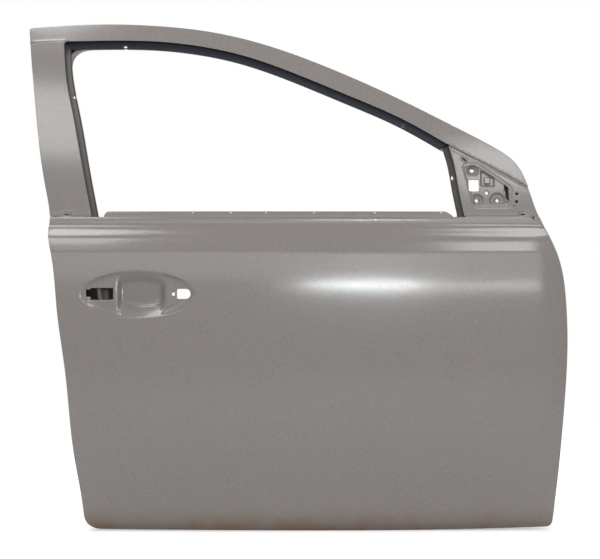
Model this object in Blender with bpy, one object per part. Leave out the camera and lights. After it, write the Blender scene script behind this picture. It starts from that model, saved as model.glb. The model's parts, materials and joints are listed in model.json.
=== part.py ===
"""Front door shell of a passenger car, right-hand side: the bare welded body of a door, before trim and glass.

Design frame: x runs from the rear of the door to its front, y from the outer skin towards the cabin, z up.
The whole door then hangs on one empty that puts the origin on the upper hinge's mounting face.
Every pressed sheet is drawn in the x-z plane, lifted onto its surface and given its thickness.
"""

import math

import bmesh
import bpy
import numpy as np
from mathutils import Matrix, Vector
from mathutils.geometry import delaunay_2d_cdt

# Driving sizes of the door, in metres
DOOR_LENGTH = 1.168
BELT_HEIGHT = 0.667
FRAME_HEIGHT = 0.433
BELT_SETBACK = 0.048
FRAME_SETBACK = 0.172
PLAN_CROWN = 0.024
FRONT_ROLL = 0.010
BODY_DEPTH = 0.135
SHELF_DEPTH = 0.095
FRAME_DEPTH = 0.036
FRAME_SHELF = 0.019

# Sheets, and the gap that welded sheets keep
SKIN_SHEET = 0.0008
PANEL_SHEET = 0.0009
STIFFENER_SHEET = 0.0012
HINGE_SHEET = 0.002
SHEET_GAP = 0.0004
CUT_OVERRUN = 0.004

# Hem that folds the skin round the inner panel's flange
HEM_WIDTH = 0.009
HEM_BEND = 0.001
HEM_DEPTH = 2 * SKIN_SHEET + PANEL_SHEET + 2 * SHEET_GAP
FLANGE_DEPTH = SKIN_SHEET + SHEET_GAP
FLANGE_EDGE = 0.0014
FLANGE_WIDTH = 0.0115
EDGE_BAND = 0.0125
CREASE_BANDS = (0.0235, 0.037)

# Corners of the outline, and the corners of the window
REAR_CORNER = 0.036
FRONT_CORNER = 0.0135
TOP_CORNER = 0.006
LEAST_CORNER = 0.001
LEAST_CORNER_SHARE = 0.11
WINDOW_CORNER = 0.050
SMALL_CORNER = 0.014

# Inner panel's weatherstrip shelf and hinge wall
WALL_DRAFT = 0.001
WALL_BEND_REACH = 0.003
WALL_BEND_DEPTH = 0.009
SHELF_WIDTH = 0.018
FRAME_SHELF_WIDTH = 0.0075
HINGE_WALL_SHARE = 0.9735
STEP_LOW_SHARE = 0.90
STEP_HIGH_SHARE = 0.963

# Glass channel and sash, measured from the window edge and the outer surface
SASH_RETURN = 0.0028
CHANNEL_FRONT = 0.0035
CHANNEL_BACK = 0.020
CHANNEL_BASE = 0.011
CHANNEL_LIP = 0.001
CHANNEL_REACH = 0.013
HEADER_REACH = 0.018
WINDOW_FLANGE_DEPTH = CHANNEL_BACK + PANEL_SHEET + SHEET_GAP
WINDOW_FACE_REACH = 0.019
WINDOW_FLANGE_REACH = 0.006

# Surface of the skin: heights as shares of the belt height, depths as shares of the belt setback
TUCK_SHARES = ((0.0, 0.93), (0.036, 0.50), (0.059, 0.345))
BODY_SHARES = ((0.059, 0.345), (0.18, 0.20), (0.30, 0.095), (0.435, 0.02), (0.555, 0.0), (0.66, 0.03),
               (0.78, 0.12), (0.886, 0.29))
SHOULDER_SHARES = ((0.886, 0.29), (0.932, 0.56), (0.974, 0.96), (1.0, 1.0))
CROWN_CENTRE_SHARE = 0.463
CROWN_SPAN_SHARE = 0.535
ROLL_START_SHARE = 0.917
ROLL_SPAN_SHARE = 0.0813
FRAME_LEAN_SHARE = 0.605

# Outline of the door: x as shares of the door length, z as shares of the belt height or of the frame above it
PILLAR_SHARES = ((0.0, 0.9804), (0.0060, 0.850), (0.0171, 0.6467), (0.0342, 0.3349), (0.0488, 0.1328),
                 (0.0565, 0.030))
REAR_SHARES = ((0.0573, 0.985), (0.0559, 0.963), (0.0569, 0.9335), (0.0629, 0.8846), (0.0758, 0.6957),
               (0.0908, 0.5067), (0.1066, 0.2399), (0.1190, 0.1124), (0.1259, 0.0045))
BOTTOM_SHARES = ((0.1259, 0.0045), (0.334, 0.0018), (0.548, 0.0), (0.771, 0.0018), (0.9735, 0.0097))
FRONT_SHARES = ((0.9735, 0.0097), (0.9760, 0.066), (0.9820, 0.1604), (0.9902, 0.3148), (0.9969, 0.4678),
                (1.0, 0.5997), (0.9974, 0.7346), (0.9880, 0.8486), (0.9729, 0.9220), (0.9589, 0.9760))
NOSE_SHARES = ((0.9478, 0.0323), (0.9392, 0.1039), (0.9289, 0.1836), (0.9204, 0.2333), (0.9062, 0.2841),
               (0.8810, 0.3349), (0.8134, 0.4365), (0.7034, 0.5912), (0.5792, 0.7483), (0.4458, 0.8868),
               (0.3491, 0.9529), (0.2301, 0.9908), (0.1387, 0.9993), (0.0582, 0.9908), (0.0, 0.9804))

# Stations along the outline where every ring of a sheet has a point, as the same shares
PILLAR_STATION_SHARES = (0.899, 0.896, 0.86, 0.77, 0.65, 0.53, 0.41, 0.29, 0.18, 0.09, 0.030, 0.010)
PILLAR_START_SHARE = 0.896
REAR_STATION_SHARES = (0.985, 0.974, 0.962, 0.948, 0.930, 0.909, 0.886, 0.83, 0.74, 0.65, 0.555, 0.44, 0.33, 0.22, 0.13,
                       0.085)
BOTTOM_STATION_SHARES = (0.175, 0.23, 0.30, 0.37, 0.44, 0.51, 0.58, 0.65, 0.72, 0.79, 0.85, 0.90, 0.93)
FRONT_STATION_SHARES = (0.078, 0.12, 0.17, 0.235, 0.30, 0.38, 0.46, 0.53, 0.60, 0.67, 0.74, 0.80, 0.85, 0.886, 0.909,
                        0.930, 0.948, 0.962, 0.974, 0.985)
NOSE_STATION_SHARES = (0.010, 0.030, 0.07, 0.11, 0.145, 0.172, 0.175, 0.21, 0.245, 0.28)
SAIL_END_SHARE = 0.172
HEADER_STATION_SHARES = (0.890, 0.868, 0.84, 0.80, 0.76, 0.71, 0.66, 0.61, 0.56, 0.51, 0.46, 0.41, 0.36, 0.31, 0.26,
                         0.21, 0.16, 0.11, 0.07, 0.035)

# Outline of the window, from the same lengths
WINDOW_PILLAR_SHARES = ((0.0680, 0.9053), (0.0762, 0.7145), (0.0942, 0.5046), (0.1160, 0.2296), (0.1322, 0.0277),
                        (0.1379, -0.0439))
WINDOW_BAR_SHARES = ((0.8181, -0.0439), (0.8038, 0.1547), (0.7968, 0.2702), (0.7871, 0.3626))
WINDOW_HEADER_SHARES = ((0.7871, 0.3626), (0.6999, 0.4979), (0.6045, 0.6143), (0.4996, 0.7358), (0.3943, 0.8360),
                        (0.3262, 0.8762), (0.2641, 0.8984), (0.1712, 0.9088), (0.0680, 0.9053))
SAIL_TOP_SHARES = ((0.9348, 0.1485), (0.8822, 0.2256), (0.8277, 0.3037), (0.7871, 0.3626))
RUN_REAR_SHARES = ((0.150, -0.25), (0.168, -0.6166))
RUN_BAR_SHARES = ((0.858, -0.6166), (0.833, -0.25))
WINDOW_PILLAR_STATION_SHARES = (0.73, 0.62, 0.50, 0.38, 0.27, 0.16, 0.07)
WINDOW_HEAD_STATION_SHARES = (0.765, 0.73, 0.69, 0.64, 0.59, 0.54, 0.49, 0.44, 0.39, 0.34, 0.29, 0.24, 0.19, 0.135)
WINDOW_BAR_STATION_SHARES = (0.07, 0.16, 0.25, 0.31)
SILL_STATION_SHARES = (0.19, 0.26, 0.33, 0.40, 0.47, 0.54, 0.61, 0.68, 0.73, 0.77)


def body_point(share):
    """Plane point below the belt from its shares."""
    return (DOOR_LENGTH * share[0], BELT_HEIGHT * share[1])


def frame_point(share):
    """Plane point of the window frame from its shares."""
    return (DOOR_LENGTH * share[0], BELT_HEIGHT + FRAME_HEIGHT * share[1])


def eased(table, at):
    """Smooth curve through a table of pairs, read at any place."""
    xs = np.array([pair[0] for pair in table])
    ys = np.array([pair[1] for pair in table])
    slopes = np.gradient(ys, xs)
    at = min(max(at, xs[0]), xs[-1])
    i = int(min(max(np.searchsorted(xs, at, side="right") - 1, 0), len(xs) - 2))
    span = xs[i + 1] - xs[i]
    t = (at - xs[i]) / span
    return ((2 * t**3 - 3 * t**2 + 1) * ys[i] + (t**3 - 2 * t**2 + t) * span * slopes[i]
            + (3 * t**2 - 2 * t**3) * ys[i + 1] + (t**3 - t**2) * span * slopes[i + 1])


def ramp(value, low, high):
    """Smooth step from 0 at low to 1 at high."""
    t = min(1.0, max(0.0, (value - low) / (high - low)))
    return t * t * (3 - 2 * t)


def crown(x, z):
    """How far the skin falls back towards both ends of the door."""
    share = x / DOOR_LENGTH
    fall = PLAN_CROWN * ((share - CROWN_CENTRE_SHARE) / CROWN_SPAN_SHARE) ** 2
    roll = FRONT_ROLL * max(0.0, (share - ROLL_START_SHARE) / ROLL_SPAN_SHARE) ** 3
    return fall + roll * (1 - ramp(z, BELT_HEIGHT * STEP_LOW_SHARE, BELT_HEIGHT))


def glass_plane(x, z):
    """Curved plane of the window frame, carried on below the belt."""
    rise = (z - BELT_HEIGHT) / FRAME_HEIGHT
    lean = FRAME_LEAN_SHARE * rise + (1 - FRAME_LEAN_SHARE) * rise**2
    return crown(x, z) + BELT_SETBACK + FRAME_SETBACK * lean


def skin(x, z):
    """Outer surface of the whole door."""
    if z >= BELT_HEIGHT:
        return glass_plane(x, z)
    share = z / BELT_HEIGHT
    table = TUCK_SHARES if share < TUCK_SHARES[-1][0] else BODY_SHARES
    if share > SHOULDER_SHARES[0][0]:
        table = SHOULDER_SHARES
    return crown(x, z) + BELT_SETBACK * float(eased(table, share))

# Handle recess in the skin: centre and half sizes as shares, depths, and its holes
HANDLE_CENTRE_SHARE = (0.2215, 0.7525)
HANDLE_HALF_LENGTH = 0.1235
HANDLE_HALF_HEIGHT = 0.051
HANDLE_SEAT_DEPTH = 0.009
HANDLE_BOWL_DEPTH = 0.025
HANDLE_BOWL_SHARES = (-0.36, -0.26, 0.36, 0.53)
HANDLE_BOWL_POWER = 2.4
HANDLE_RIM_SHARES = (1.0, 0.95, 0.89)
REAR_HOLE_SHARES = (-0.81, -0.42, -0.235, 0.26)
FRONT_HOLE_SHARES = (0.674, 0.86, -0.19, 0.22)
CATCH_HOLE_SHARES = (0.589, 0.635, -0.06, 0.07)
HANDLE_PLATE_SHARES = ((-0.88, -0.375, -0.36, 0.38), (0.545, 0.90, -0.33, 0.36))
HANDLE_PLATE_CUT = 0.04
HANDLE_PLATE_MARGIN = 0.0015

HANDLE_CUT_CORNER = 0.12
HANDLE_CLEAR_SHARE = 1.06
HANDLE_SIDES = 40
HANDLE_COLUMN_SHARES = (-0.61, -0.36, -0.31, -0.26, -0.14, -0.02, 0.10, 0.22, 0.36, 0.445, 0.53, 0.64, 0.76)
HANDLE_ROW_SHARES = (-0.72, -0.48, -0.24, 0.0, 0.24, 0.48, 0.72)
SKIN_TOP_SHARE = 0.992
SKIN_COLUMN_SHARES = (0.115, 0.19, 0.275, 0.36, 0.445, 0.53, 0.615, 0.70, 0.785, 0.865, 0.915)
SKIN_ROW_SHARES = (0.11, 0.18, 0.26, 0.35, 0.435, 0.51, 0.60, 0.68, 0.76, 0.83, 0.909, 0.953)
SKIN_CREASE_SHARES = (0.886, 0.932, 0.974)

# Sash pieces of the window frame
FRAME_GAP = 0.0006
TUCK_SHARES_OF_BELT = (0.9935, 1.003)
TUCK_ROW_SHARES = (-0.022, -0.013)
HEADER_SEAM_SHARE = 0.888
PILLAR_EDGE_SHARES = (0.883, 0.85, 0.73, 0.62, 0.50, 0.38, 0.27, 0.16, 0.07, 0.012)
PILLAR_TONGUE_SHARES = ((0.0700, 0.006), (0.0700, -0.013), (0.0702, -0.038), (0.1180, -0.038), (0.1190, -0.013), (0.1195, 0.006))
SAIL_TONGUE_SHARES = ((0.8290, 0.006), (0.8310, -0.013), (0.8320, -0.038), (0.9240, -0.038), (0.9220, -0.013), (0.9210, 0.006))
SAIL_LAP_SHARES = (0.97, 0.66, 0.33, 0.11)

# Mirror sail: pressed field, holes and their sizes
SAIL_FIELD_SHARES = ((0.8297, 0.046), (0.9000, 0.046), (0.9010, 0.1575), (0.8420, 0.2640), (0.8180, 0.2690),
                     (0.8110, 0.2540))
SAIL_PRESS_DEPTH = 0.004
SAIL_PRESS_SLOPE = 0.004
SAIL_FLOOR_SHARE = 0.12
SAIL_POINT_SHARES = ((0.870, 0.12), (0.85, 0.10))
HOLE_SIDES = 12
BAR_EDGE_SHARES = (0.012, 0.07, 0.16, 0.25, 0.31, 0.352)
SAIL_HOLE_SHARES = ((0.8309, 0.2298, 0.0058), (0.8382, 0.0785, 0.0046), (0.8750, 0.0785, 0.0046),
                    (0.8566, 0.1178, 0.0042), (0.9118, 0.1155, 0.0030), (0.9110, 0.0740, 0.0030))
SAIL_WINDOW_SHARES = (0.8245, 0.8415, 0.1270, 0.1850)
MIRROR_PLATE_SHARES = ((0.8350, 0.058), (0.8925, 0.058), (0.8925, 0.140), (0.8475, 0.222), (0.8475, 0.112),
                       (0.8350, 0.112))

# Openings of the inner panel, as shares of the door length and of the belt height
ACCESS_SHARES = ((0.265, 0.30), (0.315, 0.235), (0.63, 0.235), (0.675, 0.30), (0.70, 0.62), (0.665, 0.70),
                 (0.48, 0.73), (0.345, 0.845), (0.26, 0.845), (0.225, 0.80), (0.225, 0.66))
SPEAKER_SHARE = (0.805, 0.30)
SPEAKER_RADIUS = 0.078
SPEAKER_SCREW_RADIUS = 0.0035
SPEAKER_SCREW_CIRCLE = 0.090
LATCH_ACCESS_SHARES = ((0.135, 0.787), (0.185, 0.787), (0.185, 0.858), (0.135, 0.858))
WIRING_SHARES = ((0.875, 0.68), (0.925, 0.68), (0.925, 0.765), (0.875, 0.765))
PULL_SHARES = (0.33, 0.155, 0.014)
TRIM_CLIP_RADIUS = 0.004
TRIM_CLIP_SHARES = ((0.165, 0.20), (0.165, 0.52), (0.36, 0.14), (0.62, 0.14), (0.925, 0.17), (0.925, 0.50),
                    (0.925, 0.82), (0.56, 0.85), (0.75, 0.85))
SAIL_OPENING_SHARES = ((0.847, 0.052), (0.893, 0.052), (0.895, 0.125), (0.847, 0.205))

SPEAKER_SIDES = 28
SPEAKER_SCREWS = 4
CLIP_SIDES = 8
STEP_COLUMN_SHARES = (0.11, 0.19, 0.275, 0.36, 0.445, 0.53, 0.615, 0.70, 0.785, 0.865, 0.91)
STEP_ROW_SHARES = (0.892, 0.906, 0.922, 0.943, 0.957)

# Holes cut across the walls of the inner panel
HINGE_HOLE_RADIUS = 0.0065
HINGE_HOLE_SPREAD = 0.025
UPPER_HINGE_SHARE = 0.675
LOWER_HINGE_SHARE = 0.335
HINGE_HOLE_OFFSET = 0.008
HINGE_LINE_DEPTH = 0.066
BOLT_SIDES = 16
LATCH_CUT_SHARES = (0.060, 0.095)
CHECK_SHARE = 0.515
CHECK_HALF_WIDTH = 0.008
CHECK_HALF_HEIGHT = 0.020
LOOM_SHARE = 0.775
LOOM_RADIUS = 0.016
LATCH_SHARE = 0.795
LATCH_HALF_HEIGHT = 0.030
LATCH_DEPTHS = (0.058, 0.086)

# Reinforcements
HINGE_PLATE_HALF_HEIGHT = 0.055
HINGE_PLATE_DEPTHS = (0.045, 0.090)
TAPPING_THICKNESS = 0.006
TAPPING_HALF_HEIGHT = 0.040
TAPPING_DEPTHS = (0.052, 0.080)
CHECK_PLATE_HALF_HEIGHT = 0.030
BEAM_RADIUS = 0.015
BEAM_WALL = 0.002
BEAM_REAR_SHARE = (0.135, 0.375)
BEAM_FRONT_SHARE = (0.945, 0.53)
BEAM_DEPTHS = (0.044, 0.058)
BEAM_SIDES = 16
BEAM_PLATE_LENGTH = 0.085
BEAM_PLATE_HALF_HEIGHT = 0.038
PAD_SHARES = (0.26, 0.42, 0.60, 0.78)
PAD_HALF_LENGTH = 0.022
PAD_HALF_HEIGHT = 0.009
BELT_OUTER_SHARES = (0.1575, 0.7935)
BELT_OUTER_PROFILE = ((0.900, 0.0014), (0.918, 0.0014), (0.930, 0.0085), (0.962, 0.0085), (0.974, 0.0014),
                      (1.008, 0.0014), (1.0165, 0.0014))
BELT_INNER_SHARES = (0.15, 0.94, 0.868, 0.890)
REAR_RUN_STATION_SHARES = (0.868, 0.80, 0.73, 0.62, 0.50, 0.38, 0.27, 0.16, 0.07, 0.0, -0.06, -0.15, -0.30, -0.45,
                           -0.60)
FRONT_RUN_STATION_SHARES = (-0.60, -0.45, -0.30, -0.15, -0.06, 0.0, 0.07, 0.16, 0.25, 0.31, 0.335)
HEADER_RUN_SHARES = (0.012, 0.978)
CHANNEL_FOOT_SHARES = (-0.004, -0.012)
CHANNEL_STRAP_SHARE = -0.52374
STRAP_CLEARANCE = 0.006
BELT_END_SHARE = 0.006
BELT_COLUMN_SHARES = (0.0, 0.02, 0.14, 0.28, 0.42, 0.56, 0.70, 0.84, 0.98, 1.0)
LATCH_STATION_SHARES = (0.886, 0.65)
LATCH_PLATE_DEPTHS = (0.052, 0.0925)
BEAM_PLATE_SHARES = (0.118, 0.185, 0.885, 0.957)
MIRROR_NUT_SHARES = ((0.8382, 0.0785), (0.8750, 0.0785), (0.8566, 0.1178))
CORNER_PLATE_SHARES = ((0.030, 0.915), (0.036, 0.86), (0.052, 0.875), (0.072, 0.905), (0.086, 0.918))
TRIM_NUT_SHARES = ((0.20, 0.60), (0.20, 0.30), (0.72, 0.80), (0.90, 0.62))
FOOT_STRAP_WIDTH = 0.022
NUT_RADIUS = 0.0075
NUT_BORE = 0.0034
NUT_HEIGHT = 0.006
HEX_SIDES = 6

# Finishes: colour, metallic share and roughness
FINISHES = (("primer", (0.33, 0.30, 0.27), 0.0, 0.42), ("channel_coat", (0.055, 0.062, 0.075), 0.0, 0.45),
            ("zinc_steel", (0.46, 0.47, 0.48), 0.9, 0.42), ("mastic", (0.05, 0.045, 0.04), 0.0, 0.85))

# Shading
CREASE_ANGLE = math.radians(28)


def stretch(surface, x, z):
    """How much longer a sheet's thickness reads along y where its surface slopes."""
    step = SHEET_GAP
    slope_x = (surface(x + step, z) - surface(x - step, z)) / (2 * step)
    slope_z = (surface(x, z + step) - surface(x, z - step)) / (2 * step)
    return math.sqrt(1 + slope_x**2 + slope_z**2)


def lifted(points, depth, surface=skin):
    """Plane points lifted to a depth behind a surface; the depth may change with height."""
    out = []
    for x, z in points:
        behind = depth(x, z) if callable(depth) else depth
        out.append((x, surface(x, z) + behind * stretch(surface, x, z), z))
    return np.array(out)


class Curve:
    """Smooth plane curve through given points, read by the distance along it."""

    def __init__(self, knots, fine=400, spline=True):
        knots = np.array(knots, dtype=float)
        chord = np.concatenate([[0.0], np.cumsum(np.linalg.norm(np.diff(knots, axis=0), axis=1))])
        if spline:
            at = np.linspace(0.0, chord[-1], fine)
            knots = np.column_stack([natural(chord, knots[:, 0], at), natural(chord, knots[:, 1], at)])
            chord = np.concatenate([[0.0], np.cumsum(np.linalg.norm(np.diff(knots, axis=0), axis=1))])
        self.knots = knots
        self.along = chord
        self.length = chord[-1]
        tangents = np.gradient(knots, chord, axis=0)
        self.tangents = tangents / np.linalg.norm(tangents, axis=1)[:, None]

    def at(self, distance):
        """Point and tangent at a distance, carried on straight past both ends."""
        inside = min(max(distance, 0.0), self.length)
        point = np.array([np.interp(inside, self.along, self.knots[:, k]) for k in (0, 1)])
        tangent = np.array([np.interp(inside, self.along, self.tangents[:, k]) for k in (0, 1)])
        tangent = tangent / np.linalg.norm(tangent)
        return point + tangent * (distance - inside), tangent

    def near(self, x, z):
        """Distance along the curve of its point nearest to a place."""
        return self.along[int(np.argmin((self.knots[:, 0] - x) ** 2 + (self.knots[:, 1] - z) ** 2))]

    def moved(self, distance, inset):
        """Point at a distance, moved to the left of the curve by the inset."""
        point, tangent = self.at(distance)
        move = inset(point[0], point[1], -tangent[1]) if callable(inset) else inset
        return point + move * np.array((-tangent[1], tangent[0])), tangent


def natural(xs, ys, at):
    """Natural cubic spline through the pairs, read at the places given."""
    count = len(xs)
    gaps = np.diff(xs)
    matrix = np.eye(count)
    right = np.zeros(count)
    for i in range(1, count - 1):
        matrix[i, i - 1:i + 2] = gaps[i - 1], 2 * (gaps[i - 1] + gaps[i]), gaps[i]
        right[i] = 6 * ((ys[i + 1] - ys[i]) / gaps[i] - (ys[i] - ys[i - 1]) / gaps[i - 1])
    bend = np.linalg.solve(matrix, right)
    i = np.clip(np.searchsorted(xs, at, side="right") - 1, 0, count - 2)
    left, rest, gap = at - xs[i], xs[i + 1] - at, gaps[i]
    return (bend[i] * rest**3 + bend[i + 1] * left**3) / (6 * gap) + (
        (ys[i] / gap - bend[i] * gap / 6) * rest + (ys[i + 1] / gap - bend[i + 1] * gap / 6) * left)


def path(curves, stations, inset, corners=(), closed=False, turns=(1, 1, 1, 1)):
    """Points along joined curves, moved to the left by the inset, with rounded corners where curves meet.

    Every ring drawn with the same stations has its points on the same lines across the curves.
    """
    move = inset if callable(inset) else (lambda x, z, facing: inset)
    count = len(curves)
    spans = [[0.0, curve.length] for curve in curves]
    for j, radius in enumerate(corners):
        before, after = curves[j], curves[(j + 1) % count]
        turn = before.at(before.length)[1], after.at(0.0)[1]
        angle = math.acos(min(1.0, max(-1.0, float(turn[0] @ turn[1]))))
        point, tangent = before.at(before.length)
        depth = move(point[0], point[1], 0.0)
        cut = (depth + (radius(depth) if callable(radius) else radius)) * math.tan(angle / 2)
        spans[j][1] -= cut
        spans[(j + 1) % count][0] += cut
    runs = []
    for curve, places, (low, high) in zip(curves, stations, spans):
        clear = [min(max(place, low + LEAST_CORNER), high - LEAST_CORNER) for place in places]
        runs.append([curve.moved(place, inset) for place in [low] + clear + [high]])
    points = []
    for j, run in enumerate(runs):
        points += [point for point, tangent in run]
        if j < len(corners):
            (start, along), (end, away) = run[-1], runs[(j + 1) % count][0]
            cross = along[0] * away[1] - along[1] * away[0]
            reach = ((end[0] - start[0]) * away[1] - (end[1] - start[1]) * away[0]) / cross
            control = start + along * reach
            for k in range(1, turns[j] + 1):
                t = k / (turns[j] + 1)
                points.append((1 - t) ** 2 * start + 2 * t * (1 - t) * control + t * t * end)
    return np.array(points)


def inside(point, loop):
    """Whether a plane point lies inside a closed loop."""
    x, z = point
    odd = False
    for (ax, az), (bx, bz) in zip(loop, np.roll(loop, -1, axis=0)):
        if (az > z) != (bz > z) and x < (bx - ax) * (z - az) / (bz - az) + ax:
            odd = not odd
    return odd


class Sheet:
    """Pressed sheet: an outer side drawn ring by ring, and an inner side one thickness behind it.

    Rings run anticlockwise seen from outside and follow each other to the left, so that the thickness
    always goes to the same side.
    """

    def __init__(self, thickness):
        self.thickness = thickness
        self.points = []
        self.offsets = []
        self.faces = []

    def ring(self, points):
        start = len(self.points)
        self.points += [np.array(point) for point in points]
        self.offsets += [None] * len(points)
        return list(range(start, len(self.points)))

    def strips(self, rings, closed=False, before=None, after=None):
        """Quads between neighbouring rings; before and after are surfaces that carry on at both ends."""
        loops = [ring if isinstance(ring, list) else self.ring(ring) for ring in rings]
        count = len(loops[0])
        for a, b in zip(loops, loops[1:]):
            for i in range(count if closed else count - 1):
                j = (i + 1) % count
                self.faces += [(a[i], a[j], b[j]), (a[i], b[j], b[i])]
        for i in range(count):
            ahead = self.points[loops[0][(i + 1) % count if closed else min(i + 1, count - 1)]]
            behind = self.points[loops[0][(i - 1) % count if closed else max(i - 1, 0)]]
            travel = ahead - behind
            travel = travel / np.linalg.norm(travel)
            normals = []
            if before is not None:
                normals.append(before(self.points[loops[0][i]]))
            for a, b in zip(loops, loops[1:]):
                normal = np.cross(self.points[b[i]] - self.points[a[i]], travel)
                normals.append(normal / np.linalg.norm(normal))
            if after is not None:
                normals.append(after(self.points[loops[-1][i]]))
            shift = 0 if before is not None else -1
            for k, loop in enumerate(loops):
                near = [normals[n] for n in (k + shift, k + shift + 1) if 0 <= n < len(normals)]
                first, last = near[0], near[-1]
                self.offsets[loop[i]] = (first + last) / (1 + max(0.0, float(first @ last)))
        return loops

    def fill(self, outer, holes=(), lines=(), lift=None, surface=None):
        """Flat net of triangles between loops, with extra lines lifted onto a surface."""
        plane = []
        owners = []
        edges = []
        for loop in [outer] + list(holes):
            start = len(plane)
            plane += [Vector((self.points[i][0], self.points[i][2])) for i in loop]
            owners += loop
            edges += [(start + k, start + (k + 1) % len(loop)) for k in range(len(loop))]
        for line in lines:
            start = len(plane)
            plane += [Vector(point) for point in line]
            owners += [None] * len(line)
            edges += [(start + k, start + k + 1) for k in range(len(line) - 1)]
        tiny = SHEET_GAP * SHEET_GAP
        spots, links, cells, old, _, _ = delaunay_2d_cdt(plane, edges, [], 0, tiny)
        names = []
        for spot, sources in zip(spots, old):
            known = [owners[s] for s in sources if owners[s] is not None]
            if known:
                names.append(known[0])
                continue
            x, z = spot
            self.points.append(np.array((x, lift(x, z), z)))
            self.offsets.append(None)
            names.append(len(self.points) - 1)
        around = np.array([(self.points[i][0], self.points[i][2]) for i in outer])
        gaps = [np.array([(self.points[i][0], self.points[i][2]) for i in hole]) for hole in holes]
        for cell in cells:
            middle = sum((Vector(spots[c]) for c in cell), Vector((0.0, 0.0))) / len(cell)
            if inside(middle, around) and not any(inside(middle, gap) for gap in gaps):
                self.faces.append(tuple(names[c] for c in cell))
        for name in names:
            if self.offsets[name] is None:
                x, _, z = self.points[name]
                self.offsets[name] = self.facing(surface or lift, x, z)

    @staticmethod
    def facing(surface, x, z):
        """Unit normal of a surface that points to the cabin."""
        step = SHEET_GAP
        slope_x = (surface(x + step, z) - surface(x - step, z)) / (2 * step)
        slope_z = (surface(x, z + step) - surface(x, z - step)) / (2 * step)
        normal = np.array((-slope_x, 1.0, -slope_z))
        return normal / np.linalg.norm(normal)

    def make(self, name, material):
        """Closed body with both sides and the cut edges between them."""
        used = sorted({i for face in self.faces for i in face})
        place = {old: new for new, old in enumerate(used)}
        front = [self.points[i] for i in used]
        back = [self.points[i] + self.thickness * self.offsets[i] for i in used]
        count = len(used)
        faces = [tuple(place[i] for i in face) for face in self.faces]
        sides = {}
        for face in faces:
            for a, b in zip(face, face[1:] + face[:1]):
                sides[(a, b)] = sides.get((a, b), 0) + 1
        whole = list(faces) + [tuple(i + count for i in reversed(face)) for face in faces]
        for a, b in sides:
            if (b, a) not in sides:
                whole.append((b, a, a + count, b + count))
        return body(name, front + back, whole, material)


def body(name, points, faces, material):
    """One named object from points and faces, wound outwards and shaded smooth below the crease angle."""
    mesh = bpy.data.meshes.new(name)
    mesh.from_pydata([tuple(float(v) for v in point) for point in points], [], faces)
    net = bmesh.new()
    net.from_mesh(mesh)
    bmesh.ops.recalc_face_normals(net, faces=net.faces)
    if net.calc_volume(signed=True) < 0:
        bmesh.ops.reverse_faces(net, faces=net.faces)
    for face in net.faces:
        face.smooth = True
    for edge in net.edges:
        edge.smooth = edge.calc_face_angle(math.pi) < CREASE_ANGLE
    net.to_mesh(mesh)
    net.free()
    piece = bpy.data.objects.new(name, mesh)
    bpy.context.collection.objects.link(piece)
    piece.data.materials.append(MATERIALS[material])
    piece.parent = ROOT
    return piece


def prism(name, outline, low, high, material, holes=(), axis=1):
    """Straight body with a plane outline and holes, between two places along an axis."""
    sheet_points = []
    loops = [list(outline)] + [list(hole) for hole in holes]
    plane = []
    edges = []
    for loop in loops:
        start = len(plane)
        plane += [Vector(point) for point in loop]
        edges += [(start + k, start + (k + 1) % len(loop)) for k in range(len(loop))]
    spots, _, cells, _, _, _ = delaunay_2d_cdt(plane, edges, [], 0, SHEET_GAP * SHEET_GAP)
    around = np.array(loops[0])
    gaps = [np.array(loop) for loop in loops[1:]]
    faces = []
    for cell in cells:
        middle = sum((Vector(spots[c]) for c in cell), Vector((0.0, 0.0))) / len(cell)
        if inside(middle, around) and not any(inside(middle, gap) for gap in gaps):
            faces.append(tuple(cell))
    for height in (low, high):
        for a, b in spots:
            point = [a, b]
            point.insert(axis, height)
            sheet_points.append(tuple(point))
    count = len(spots)
    sides = {(a, b) for face in faces for a, b in zip(face, face[1:] + face[:1])}
    whole = list(faces) + [tuple(i + count for i in reversed(face)) for face in faces]
    whole += [(b, a, a + count, b + count) for a, b in sides if (b, a) not in sides]
    return body(name, sheet_points, whole, material)


def circle(x, z, radius, count=16, flat=1.0, turn=0.0):
    """Anticlockwise loop of points round a centre."""
    return [(x + radius * math.cos(turn + math.tau * k / count), z + radius * flat * math.sin(turn + math.tau * k / count))
            for k in range(count)]


def box_loop(x0, x1, z0, z1, corner=0.0):
    """Anticlockwise rectangle, with cut corners when asked."""
    if corner == 0:
        return [(x0, z0), (x1, z0), (x1, z1), (x0, z1)]
    return [(x0 + corner, z0), (x1 - corner, z0), (x1, z0 + corner), (x1, z1 - corner), (x1 - corner, z1),
            (x0 + corner, z1), (x0, z1 - corner), (x0, z0 + corner)]


# Clear the scene, make the materials and the empty that holds every piece
for thing in list(bpy.data.objects):
    bpy.data.objects.remove(thing, do_unlink=True)
MATERIALS = {}
for slot, colour, metallic, roughness in FINISHES:
    finish = bpy.data.materials.new(slot)
    finish.use_nodes = True
    shader = finish.node_tree.nodes["Principled BSDF"]
    shader.inputs["Base Color"].default_value = (*colour, 1.0)
    shader.inputs["Metallic"].default_value = metallic
    shader.inputs["Roughness"].default_value = roughness
    MATERIALS[slot] = finish
ROOT = bpy.data.objects.new("car_door_shell", None)
bpy.context.collection.objects.link(ROOT)
ROOT.location = (-(DOOR_LENGTH * HINGE_WALL_SHARE + PANEL_SHEET), -HINGE_LINE_DEPTH, -BELT_HEIGHT * UPPER_HINGE_SHARE)


def crossing(curve, axis, value):
    """Distance along a curve where it first crosses a value of x (0) or z (1)."""
    side = curve.knots[:, axis] - value
    for k in range(len(side) - 1):
        if side[k] * side[k + 1] <= 0 and side[k] != side[k + 1]:
            share = side[k] / (side[k] - side[k + 1])
            return curve.along[k] + share * (curve.along[k + 1] - curve.along[k])
    raise ValueError("the curve does not cross that value")


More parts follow.
